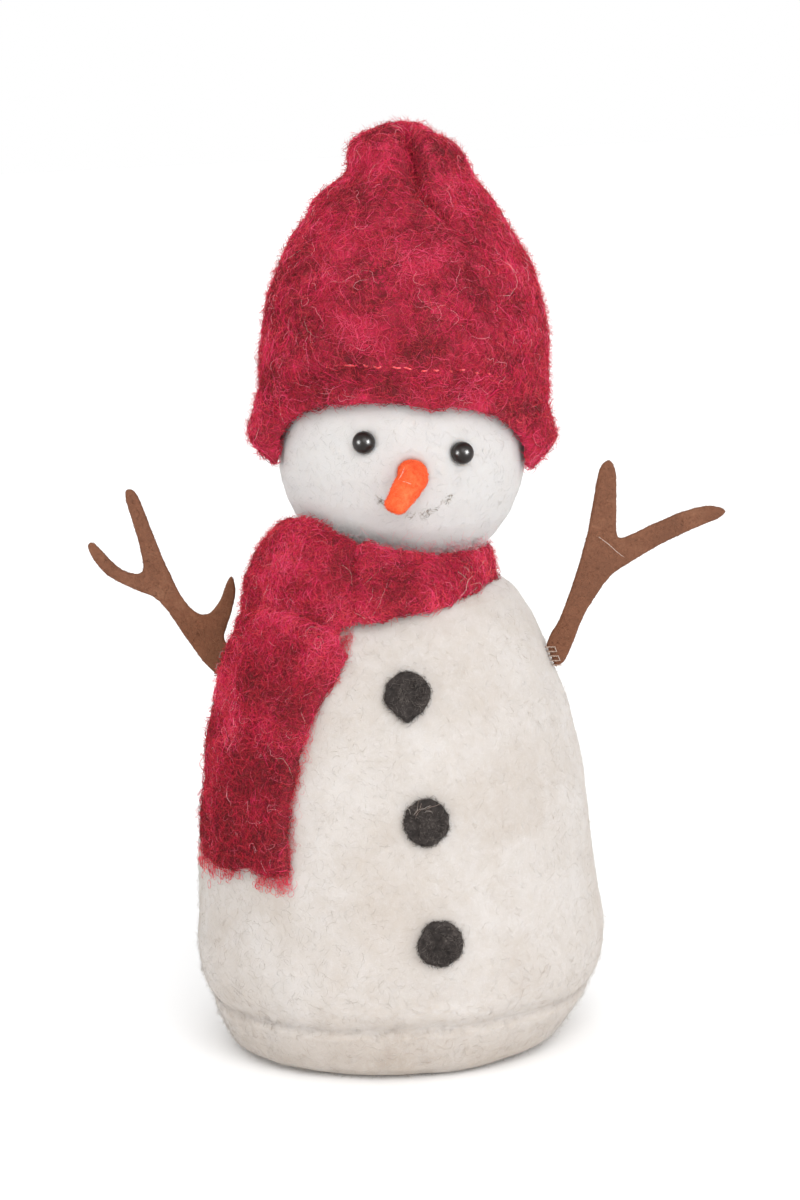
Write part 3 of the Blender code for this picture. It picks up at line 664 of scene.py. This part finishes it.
def make_bead(side):
    """A glossy black bead with its thread hole from top to bottom."""
    low, high = (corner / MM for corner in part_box(f"eye_bead_{side}"))
    centre, radius = (low + high) / 2, (high.x - low.x) / 2
    shape = bmesh.new()
    steps, turns = 20, 40
    lowest = math.asin(BEAD_HOLE_RADIUS / radius)
    rows = []
    for i in range(steps + 1):
        angle = lowest + (math.pi - 2 * lowest) * i / steps
        rows.append((radius * math.sin(angle), radius * math.cos(angle)))
    rows += [(BEAD_HOLE_RADIUS, -radius * 0.8), (BEAD_HOLE_RADIUS, radius * 0.8)]
    rings = []
    for r, z in rows:
        ring = []
        for k in range(turns):
            a = 2 * math.pi * k / turns
            ring.append(shape.verts.new((centre + Vector((r * math.cos(a), r * math.sin(a), z))) * MM))
        rings.append(ring)
    for ring, following in zip(rings, rings[1:] + rings[:1]):
        for k in range(turns):
            j = (k + 1) % turns
            shape.faces.new((ring[k], following[k], following[j], ring[j]))
    bmesh.ops.recalc_face_normals(shape, faces=shape.faces)
    mesh = bpy.data.meshes.new(f"bead_{side}")
    shape.to_mesh(mesh)
    shape.free()
    return link(f"bead_{side}", mesh)


def make_eyes():
    """Both beads."""
    g = Graph("bead_black")
    tint = g.noise(900.0, 2.0)
    g.set(Base_Color=g.ramp(tint, [(0.006, 0.0045, 0.004), (0.019, 0.014, 0.012)]))
    g.set(Roughness=g.math("MULTIPLY_ADD", tint, 0.06, 0.26), Specular_IOR_Level=0.25)
    for side in ("left", "right"):
        bead = make_bead(side)
        dress(bead, g.material, "bead", f"eye_bead_{side}")
        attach(bead, "figure")


def make_nose(palette, pales):
    """The orange felt carrot, with one pale hair across it."""
    felt = felt_material("nose_wool", ORANGES, 200.0, 700.0, 0.08, 0.7)
    nose = dense_copy("nose_wool", ["nose"], 0.35, 14)
    roughen(nose, [(3.0, 0.25), (1.2, 0.10)], 61)
    dress(nose, felt, "nose_felt", "nose")
    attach(nose, "figure")
    surface = Surface(nose)
    short = {**LAID, "length": (0.8, 2.0), "radius": (0.02, 0.035), "lift": (0.1, 0.35), "steps": 5,
             "loose": 0.5}
    grow("nose_fuzz", surface, 3200, 62, short, palette, [0.3, 0.4, 0.3], "figure", "nose_felt")
    low, high = (np.array(corner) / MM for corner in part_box("nose"))
    spot = (low[0] + 2.8, low[1] + 3.0, high[2] - 4.0)
    hair = {**LAID, "length": (5.0, 7.0), "radius": (0.05, 0.06), "lift": (0.1, 0.2), "loose": 0.0,
            "curl": 0.12}
    grow("nose_hair", surface, 3, 64, hair, pales, [0.3, 0.7], "figure", "thread_pale", near(spot, 0.6),
         heading=towards((1.0, 0.0, -0.1)))


def make_buttons(palette, pales):
    """Three charcoal felt dots."""
    felt = felt_material("button_wool", CHARCOALS, 300.0, 800.0, 0.12, 0.5)
    short = {**LAID, "length": (0.9, 2.6), "radius": (0.02, 0.04), "lift": (0.05, 0.7), "steps": 6,
             "loose": 0.4}
    for i, name in enumerate(("top", "middle", "bottom")):
        node = f"button_{name}"
        dot = dense_copy(f"dot_{name}", [node], 0.3)
        roughen(dot, [(4.0, 0.45), (1.6, 0.22), (0.8, 0.10)], 71 + i)
        if name == "top":
            points, _ = read_points(dot)
            off = points - np.array(frame_middle(node))
            points[:, 2] -= 1.3 * bell(off[:, 0] + 0.4, 1.5) * ramp(-off[:, 2], 1.5, 5.0)
            write_points(dot, points)
        dress(dot, felt, "button_felt", node)
        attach(dot, "figure")
        fuzz = grow(f"dot_{name}_fuzz", Surface(dot), 1500, 74 + i, short, palette, [0.42, 0.35, 0.23],
                    "figure", "button_felt", patch=2.0)
        if name == "middle":
            hair = {**LAID, "length": (3.0, 5.0), "radius": (0.03, 0.045), "lift": (0.3, 0.6), "curl": 0.3}
            upper_left = near(np.array(frame_middle(node)) + (-2.2, -0.8, 2.6), 1.3)
            fuzz += grow("dot_middle_hairs", Surface(dot), 8, 79, hair, pales, [0.4, 0.6], "figure",
                         "thread_pale", upper_left, heading=towards((0.8, 0.0, 0.6)))


# ---------------------------------------------------------------- hat

def hat_rows():
    """The hat's frame as a matrix whose rows are its right, back and up directions."""
    up = np.array(HAT_UP)
    back = np.array((0.0, 1.0, 0.0))
    return np.stack([np.cross(back, up), back, up])


# Level wrinkles on the hat's left side: (how far out, azimuth, its spread, height, its spread).
SIDE_WRINKLES = [
    (-1.5, -100.0, 38.0, 69.0, 2.8),
    (0.9, -105.0, 34.0, 62.0, 3.5),
    (0.9, -95.0, 45.0, 76.0, 3.0),
]
# Where the cleft between the two lobes runs: heights, and its azimuth at each.
CLEFT_HEIGHTS = [56.0, 58.6, 64.2, 67.8, 74.8, 81.0]
CLEFT_AZIMUTHS = [19.0, 14.0, 1.0, -0.5, -3.0, -14.0]


def shape_hat(hat):
    """The cleft between the crown's two lobes, soft wrinkles, a notched left lobe and thin side flaps."""
    points, normals = read_points(hat)
    local = (points - HEAD_MIDDLE) @ hat_rows().T
    facing = normals @ hat_rows().T
    radius = np.linalg.norm(local[:, :2], axis=1)
    azimuth, height = azimuths(local), local[:, 2]
    outer = ramp((unit(local * (1, 1, 0)) * facing).sum(1), 0.0, 0.5)
    off_cleft = np.radians(turn_between(azimuth, np.interp(height, CLEFT_HEIGHTS, CLEFT_AZIMUTHS))) * radius
    push = -4.2 * ramp(height, 52.0, 63.0) * bell(off_cleft, 1.9)
    push += 1.4 * ramp(height, 54.0, 66.0) * (bell(off_cleft - 4.6, 2.6) + 0.5 * bell(off_cleft + 5.0, 3.0))
    for out, middle, spread, level, level_spread in SIDE_WRINKLES:
        push += out * bell(turn_between(azimuth, middle), spread) * bell(height - level, level_spread)
    flaps = bell(turn_between(azimuth, -88.0), 17.0) + bell(turn_between(azimuth, 66.0), 17.0)
    push -= 2.1 * flaps * outer * (1 - ramp(height, -4.5, 4.5))
    push += 0.8 * lumps(local * (0.45, 0.45, 1.0), 8.0, 80) + 0.5 * lumps(points, 9.0, 81)
    push += 0.45 * lumps(points, 4.0, 82) + 0.3 * lumps(points, 2.2, 83)
    grown = np.maximum(radius + push, 0.2)
    local[:, :2] *= (grown / np.maximum(radius, 1e-6))[:, None]
    local[:, 2] += (1 - ramp(height, 10.0, 24.0)) * 1.1 * lumps(points * (1, 1, 0), 5.0, 84)
    local[:, 2] -= 1.7 * ramp(height, 73.0, 80.0) * ramp(local[:, 0], 1.0, 8.0)
    write_points(hat, local @ hat_rows() + HEAD_MIDDLE)


def hat_surface_point(surface, azimuth, height):
    """The hat's surface and its normal at an azimuth and a height in the hat's frame."""
    a = math.radians(azimuth)
    local = np.array([[math.sin(a) * 40.0, -math.cos(a) * 40.0, height]])
    points, normals = surface.snap(local @ hat_rows() + HEAD_MIDDLE)
    return points[0], normals[0]


def make_hem_stitches(surface):
    """A running stitch of bright thread above the hem: each stitch dips into the felt at both ends."""
    stitches = []
    for azimuth in np.arange(HEM_STITCH_FIRST, HEM_STITCH_LAST, HEM_STITCH_PITCH):
        line = []
        for step in np.linspace(0.0, 1.0, 6):
            turn = azimuth + HEM_STITCH_LENGTH * step
            height = HEM_STITCH_HEIGHT - 0.0011 * (turn + 6.0) ** 2
            point, normal = hat_surface_point(surface, turn, height)
            line.append(point + normal * (0.75 * math.sin(math.pi * step) - 0.3))
        stitches.append(line)
    made = link("hem_stitches", tube_mesh("hem_stitches", stitches, HEM_STITCH_RADIUS, 6))
    dress(made, thread_material("thread_red", (0.70, 0.003, 0.014), (0.90, 0.006, 0.028)), "thread_red",
          "hat_hem_thread")
    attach(made, "hat")


def make_hat(palette, rim_palette, pinks, pales):
    """The boiled-wool hat with its loose fibres and the stitches along its hem."""
    wool = felt_material("hat_wool", CRIMSONS[:4], 120.0, 360.0, 0.45, glow=RIM_GLOW)
    hat = dense_copy("hat_wool", ["hat_felt"], 1.0, 2)
    shape_hat(hat)
    dress(hat, wool, "hat_wool", "hat_felt")
    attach(hat, "hat")
    surface = Surface(hat)

    def outside(points, normals):
        local = (points - HEAD_MIDDLE) @ hat_rows().T
        facing = normals @ hat_rows().T
        out = (unit(local * (1, 1, 0)) * facing).sum(1)
        return np.where((out > 0.1) | ((facing[:, 2] > 0.3) & (local[:, 2] > 60)), 1.0, 0.0)

    def around(roots, normals, rng):
        return np.cross(np.array(HAT_UP), normals) * rng.choice((-1.0, 1.0), (len(roots), 1)) + rng.normal(
            0.0, 0.75, (len(roots), 3))

    laid = {**LAID, "length": (4.0, 10.0), "radius": (0.045, 0.085), "lift": (0.2, 1.1), "curl": 0.65}
    fuzz = grow("hat_fuzz", surface, 20000, 85, laid, palette, CRIMSON_SHARES, "hat", "hat_wool", outside,
                9.0, 0.68, around)
    rim = {**LAID, "length": (2.0, 4.6), "radius": (0.035, 0.065), "lift": (0.4, 1.3), "loose": 1.0,
           "steps": 6, "curl": 0.7}
    # The standing nap's lighter crimsons are partly painted light through the fibres.
    fuzz += grow("hat_nap", surface, 12000, 86, rim, rim_palette, [0.5, 0.35, 0.15], "hat", "hat_wool",
                 outside)
    curly = {**LAID, "length": (4.0, 9.0), "radius": (0.035, 0.055), "lift": (0.6, 1.3), "steps": 10,
             "curl": 0.5}
    fuzz += grow("hat_curls", surface, 900, 87, curly, pinks, [0.75, 0.25], "hat", "hat_wool", outside)
    hair = {**LAID, "length": (8.0, 16.0), "radius": (0.03, 0.045), "lift": (0.6, 1.2), "steps": 10,
            "curl": 0.22}
    fuzz += grow("hat_hairs", surface, 30, 88, hair, pales, [0.8, 0.2], "hat", "hat_wool", outside)
    make_hem_stitches(surface)


# ---------------------------------------------------------------- scarf

# The right edge of the hanging end: (height, azimuth).
TAIL_EDGE = [
    (52.0, -40.5), (66.0, -42.0), (77.0, -40.5), (86.0, -38.0), (96.0, -34.0), (104.0, -28.5),
    (112.0, -24.0),
]
# Where the strip's end laps over it.
SEAM_AZIMUTH = -22.0
# Places on the scarf with pale hairs: (point, spread, how many, direction).
PALE_SPOTS = [
    ((19.0, -25.0, 120.0), 2.5, 6, (0.15, 0.0, 1.0)),
    ((12.0, -31.0, 116.5), 3.5, 8, (1.0, 0.0, 0.3)),
    ((-12.5, -30.0, 121.0), 3.0, 5, (0.1, 0.0, 1.0)),
    ((-12.0, -33.0, 117.0), 4.0, 6, (1.0, 0.0, -0.1)),
    ((-22.0, -40.0, 80.0), 9.0, 4, (0.4, 0.0, 1.0)),
]


def body_radius(surface, azimuth, height):
    """Distance of the body's skin from the z axis."""
    a = math.radians(azimuth)
    out = Vector((math.sin(a), -math.cos(a), 0.0))
    hit = surface.tree.ray_cast(out * 80.0 + Vector((0, 0, height)), -out)[0]
    return (hit - Vector((0, 0, height))).length


def bend_roll(surface):
    """A soft roll along the bend, which joins the strip round the neck to its hanging end."""
    line = []
    for azimuth in np.linspace(FOLD_MIDDLE - FOLD_REACH + 11, FOLD_MIDDLE + FOLD_REACH - 5, 24):
        off = (azimuth - FOLD_MIDDLE) / FOLD_REACH
        height = TAIL_HIGH.z - FOLD_DROP * off**2 + 0.9
        radius = body_radius(surface, azimuth, height) + 2.9 + 0.4 * min(off, 0.0)
        a = math.radians(azimuth)
        line.append((math.sin(a) * radius, -math.cos(a) * radius, height))
    return tube_mesh("bend_roll", [line], 2.9)


def shape_scarf(scarf):
    """The step where the strip laps over itself, and the torn bottom of its hanging end."""
    points, normals = read_points(scarf)
    azimuth, height = azimuths(points), points[:, 2]
    outer = ramp((unit(points * (1, 1, 0)) * normals).sum(1), 0.0, 0.5)
    push = 0.7 * lumps(points, 7.0, 91) + 0.5 * lumps(points, 3.5, 92) + 0.3 * lumps(points, 2.0, 93)
    seam = bell(turn_between(azimuth, SEAM_AZIMUTH - 0.02 * (height - 122.0)), 2.2)
    push -= 1.5 * seam * ramp(height, 114.0, 117.0)
    push -= 2.0 * outer * bell(turn_between(azimuth, -92.0), 26.0) * (1 - ramp(height, 70.0, 84.0))
    torn = 1 - ramp(height, TAIL_LOW.z + 2.0, TAIL_LOW.z + 7.0)
    rise = 2.2 * bell(azimuth + 55.0, 3.5) + bell(azimuth + 80.0, 7.0) + 0.9 * bell(azimuth + 43.0, 6.0)
    points = points + normals * push[:, None]
    points[:, 2] += torn * (rise + 0.9 * lumps(points * (1, 1, 0), 2.5, 94))
    write_points(scarf, points)


def tail_edge(height):
    """Azimuth of the hanging end's right edge."""
    return np.interp(height, *zip(*TAIL_EDGE))


def torn_tufts(points, normals):
    """Where the ravelled ends hang: two tufts under the tail's torn bottom."""
    azimuth, height = azimuths(points), points[:, 2]
    left = ((azimuth > -88) & (azimuth < -60)) * bell(height - TAIL_LOW.z + 1.0, 1.8)
    right = ((azimuth > -53) & (azimuth < -40.5)) * bell(height - TAIL_LOW.z + 1.2, 2.2) * 1.8
    return (left + right) * outward(points, normals)


def beside_tail(points, normals):
    """Where loose wool bleeds over the body, along the tail's right edge."""
    azimuth, height = azimuths(points), points[:, 2]
    more = 0.35 + bell(height - 106.0, 5.0) + 0.6 * bell(height - 77.0, 4.0)
    band = bell(azimuth - tail_edge(height), 1.6) * ((height > 58) & (height < 111))
    return band * more * outward(points, normals)


def make_scarf(palette, rim_palette, pinks, pales, skin):
    """The scarf: one strip round the neck whose end bends over the shoulder and hangs."""
    # Painted shade: the tone drops below 98 mm, darkest below 66 mm, on the low part of the hanging end.
    wool = felt_material("scarf_wool", CRIMSONS[:4], 110.0, 360.0, 0.45, glow=RIM_GLOW,
                         shift=(0.066, 0.098, -0.35, 0.0))
    scarf = dense_copy("scarf_wool", ["scarf_wrap", "scarf_tail"], 0.9, 3, bend_roll(skin))
    shape_scarf(scarf)
    dress(scarf, wool, "scarf_wool", "scarf_wrap", "scarf_tail")
    surface = Surface(scarf)
    common = {"body": "scarf_end", "slot": "scarf_wool", "blend": True}
    # Painted shade on the fibres: darker shades below 96 mm, darkest below 66 mm, low on the hanging end.
    style = {**LAID, "length": (4.0, 9.0), "radius": (0.045, 0.085), "lift": (0.2, 1.0), "curl": 0.65,
             "painted_shade_below": (66.0, 96.0)}
    fuzz = grow("scarf_fuzz", surface, 15500, 111, style, palette, CRIMSON_SHARES, keep=outward, patch=8.0,
                patchy=0.68, **common)
    style = {**LAID, "length": (2.0, 4.4), "radius": (0.035, 0.065), "lift": (0.4, 1.2), "loose": 1.0,
             "steps": 6, "curl": 0.7, "painted_shade_below": (66.0, 96.0)}
    # The standing nap's lighter crimsons are partly painted light through the fibres.
    fuzz += grow("scarf_nap", surface, 9500, 112, style, rim_palette, [0.5, 0.35, 0.15], keep=outward,
                 **common)
    style = {**LAID, "length": (4.0, 8.0), "radius": (0.03, 0.05), "lift": (0.5, 1.2), "steps": 10,
             "curl": 0.6}
    fuzz += grow("scarf_curls", surface, 700, 110, style, pinks, [0.75, 0.25], keep=outward, **common)
    style = {**LAID, "length": (4.0, 8.0), "radius": (0.04, 0.06), "lift": (0.4, 1.8), "curl": 0.2,
             "loop": 0.6, "steps": 14, "droop": 0.2}
    fuzz += grow("scarf_fringe", skin, 260, 113, style, rim_palette + pinks[:1], [0.3, 0.35, 0.2, 0.15],
                 keep=torn_tufts, **common)
    style = {**LAID, "length": (1.8, 4.4), "radius": (0.02, 0.035), "lift": (0.4, 1.4), "curl": 0.3,
             "loop": 0.6, "droop": 0.3, "steps": 9}
    fuzz += grow("scarf_bleed", skin, 1100, 114, style, rim_palette + pinks[:1], [0.35, 0.3, 0.2, 0.15],
                 keep=beside_tail, heading=towards((0.8, -0.3, -0.2)), **common)
    style = {**LAID, "length": (6.0, 13.0), "radius": (0.03, 0.045), "lift": (0.5, 1.1), "steps": 9,
             "curl": 0.22}
    for i, (spot, size, count, direction) in enumerate(PALE_SPOTS):
        fuzz += grow(f"scarf_pale_hairs_{i + 1}", surface, count, 115 + i, style, pales, [0.5, 0.5],
                     keep=near(spot, size), heading=towards(direction), **common)
    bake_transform(scarf)


# ---------------------------------------------------------------- arms

def make_arms(palette, pales):
    """Two forked twigs of stiff brown felt, and one pale hair that lies across the right one."""
    felt = felt_material("arm_wool", BROWNS, 90.0, 900.0, 0.08, 0.5)
    short = {**LAID, "length": (0.8, 2.2), "radius": (0.02, 0.04), "lift": (0.03, 0.25), "steps": 5,
             "loose": 0.35}
    for side, seed in (("left", 101), ("right", 104)):
        arm = dense_copy(f"twig_{side}", [f"arm_{side}"], 0.4, 4)
        roughen(arm, [(4.0, 0.10), (1.2, 0.06)], seed)
        dress(arm, felt, "arm_felt", f"arm_{side}")
        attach(arm, f"{side}_arm")
        surface = Surface(arm)
        fuzz = grow(f"twig_{side}_fuzz", surface, 3200, seed + 1, short, palette, [0.2, 0.4, 0.4],
                    f"{side}_arm", "arm_felt", patch=3.0)
        if side == "right":
            hair = {**LAID, "length": (12.0, 12.5), "radius": (0.06, 0.065), "lift": (0.15, 0.2),
                    "loose": 0.0, "curl": 0.08, "steps": 10}
            fuzz += grow("twig_right_hair", surface, 1, 109, hair, pales, [0.0, 1.0], "right_arm",
                         "thread_pale", near((50.3, -17.4, 129.8), 0.5), heading=towards((0.8, -0.15, -0.5)))


# ---------------------------------------------------------------- carried-over CAD nodes

def thread_material(name, dark, light):
    """Twisted sewing thread."""
    g = Graph(name)
    place = g.add("ShaderNodeTexCoord").outputs["Object"]
    values = {"Vector": place, "Scale": 1400.0, "Distortion": 1.5}
    twist = g.add("ShaderNodeTexWave", values, bands_direction="DIAGONAL").outputs[1]
    g.set(Base_Color=g.ramp(twist, [dark, light]), Roughness=0.6, Sheen_Weight=0.3)
    g.bump(twist, 0.06 * MM)
    return g.material


def speckled_material(name, dark, light, scale, depth):
    """Foam beads, board or wadding: speckles with a matching bump."""
    g = Graph(name)
    speckle = g.noise(scale, 3.0)
    g.set(Base_Color=g.ramp(speckle, [dark, light]), Roughness=0.85)
    g.bump(speckle, depth * MM)
    return g.material


def wood_material(name):
    """Plain dowel with its grain along z."""
    g = Graph(name)
    place = g.add("ShaderNodeTexCoord").outputs["Object"]
    stretched = g.add("ShaderNodeMapping", {"Vector": place, "Scale": (900.0, 900.0, 40.0)}).outputs[0]
    grain = g.add("ShaderNodeTexNoise", {"Vector": stretched, "Scale": 1.0, "Detail": 4.0}).outputs[0]
    g.set(Base_Color=g.ramp(grain, [(0.42, 0.27, 0.15), (0.66, 0.48, 0.30)]), Roughness=0.6)
    g.bump(grain, 0.1 * MM)
    return g.material


def finish_cad_nodes():
    """Materials for the CAD nodes that stay as they are."""
    foam = speckled_material("foam_white", (0.78, 0.78, 0.76), (0.92, 0.92, 0.90), 600.0, 0.2)
    wadding = speckled_material("wadding_white", (0.70, 0.69, 0.67), (0.9, 0.9, 0.88), 350.0, 0.5)
    card = speckled_material("card_grey", (0.34, 0.26, 0.17), (0.52, 0.42, 0.30), 800.0, 0.08)
    brown = thread_material("thread_brown_dark", (0.07, 0.035, 0.022), (0.20, 0.10, 0.06))
    pale = thread_material("thread_pale", (0.20, 0.10, 0.06), (0.50, 0.38, 0.30))
    red = thread_material("thread_red_inside", (0.50, 0.015, 0.02), (0.85, 0.05, 0.06))
    chosen = {
        "body_core": foam, "head_core": foam, "hat_wadding": wadding, "base_card": card,
        "neck_peg": wood_material("dowel_wood"), "arm_left_stitches": brown, "arm_right_stitches": pale,
        "hat_gather_thread": red,
    }
    for node, material in chosen.items():
        slots = frame["nodes"][node].data.materials
        for i in range(len(slots)):
            slots[i] = material


# ---------------------------------------------------------------- studio

def add_camera():
    """The camera, at the view's direction and roll."""
    a, roll = math.radians(VIEW_AZIMUTH), math.radians(VIEW_ROLL)
    back = back_direction(VIEW_AZIMUTH, VIEW_ELEVATION)
    level = Vector((math.cos(a), math.sin(a), 0.0))
    above = back.cross(level)
    right = level * math.cos(roll) - above * math.sin(roll)
    up = level * math.sin(roll) + above * math.cos(roll)
    data = bpy.data.cameras.new("camera")
    data.lens = LENS
    data.sensor_fit = "VERTICAL"
    data.sensor_height = 36.0
    data.clip_end = 20.0
    camera = link("camera", data)
    turn = Matrix((right, up, back)).transposed().to_4x4()
    camera.matrix_world = Matrix.Translation(VIEW_TARGET + back * VIEW_DISTANCE) @ turn
    bpy.context.scene.camera = camera


def back_direction(azimuth, elevation):
    """The unit vector from the figure towards a light or camera."""
    a, e = math.radians(azimuth), math.radians(elevation)
    return Vector((math.sin(a) * math.cos(e), -math.cos(a) * math.cos(e), math.sin(e)))


def add_light(name, kind, azimuth, elevation, power, spread, tint=(1.0, 1.0, 1.0)):
    """A light that shines at the figure: a wide sun, or a small square for highlights."""
    back = back_direction(azimuth, elevation)
    data = bpy.data.lights.new(name, kind)
    data.energy = power
    data.color = tint
    if kind == "SUN":
        data.angle = math.radians(spread)
    else:
        data.size = spread
    light = link(name, data)
    light.rotation_mode = "QUATERNION"
    light.location = VIEW_TARGET + back * 1.1
    light.rotation_quaternion = back.to_track_quat("Z", "Y")
    return light


def add_studio():
    """A white world, soft lights and a pale floor."""
    scene = bpy.context.scene
    scene.view_settings.view_transform = "Standard"
    world = bpy.data.worlds.new("studio")
    scene.world = world
    world.use_nodes = True
    world.node_tree.nodes["Background"].inputs["Color"].default_value = (1.0, 1.0, 1.0, 1.0)
    add_light("key", "SUN", 2.0, 31.0, 2.0, 45.0)
    add_light("fill", "SUN", -35.0, 6.0, 0.2, 60.0, (1.0, 0.88, 0.72))
    add_light("glint_left", "AREA", -62.0, 9.0, 34.0, 0.45).visible_diffuse = False
    add_light("glint_right", "AREA", 36.0, 12.0, 60.0, 0.45).visible_diffuse = False
    shape = bmesh.new()
    bmesh.ops.create_grid(shape, x_segments=4, y_segments=4, size=9.0)
    mesh = bpy.data.meshes.new("floor")
    shape.to_mesh(mesh)
    shape.free()
    floor = link("floor", mesh)
    floor.location.z = -0.0002
    g = Graph("floor_pale")
    g.set(Base_Color=g.ramp(g.noise(3.0), [(0.90, 0.90, 0.90), (0.92, 0.92, 0.92)]), Roughness=0.9)
    mesh.materials.append(g.material)


def main():
    """The whole scene: studio, figure, hat, scarf and arms."""
    add_camera()
    add_studio()
    crimson = fibre_palette("crimson", CRIMSONS, RIM_GLOW)
    rim = fibre_palette("crimson_rim", CRIMSON_RIM, RIM_GLOW)
    pinks = fibre_palette("pink", PINKS)
    pales = fibre_palette("pale", PALES)
    skin = make_body(fibre_palette("cream", CREAMS))
    make_head(fibre_palette("white", WHITES), fibre_palette("grey", GREYS), pinks)
    make_eyes()
    make_nose(fibre_palette("orange", ORANGES), pales)
    make_buttons(fibre_palette("charcoal", CHARCOALS), pales)
    make_hat(crimson, rim, pinks, pales)
    make_scarf(crimson, rim, pinks, pales, skin)
    make_arms(fibre_palette("brown", BROWNS), pales)
    finish_cad_nodes()


main()
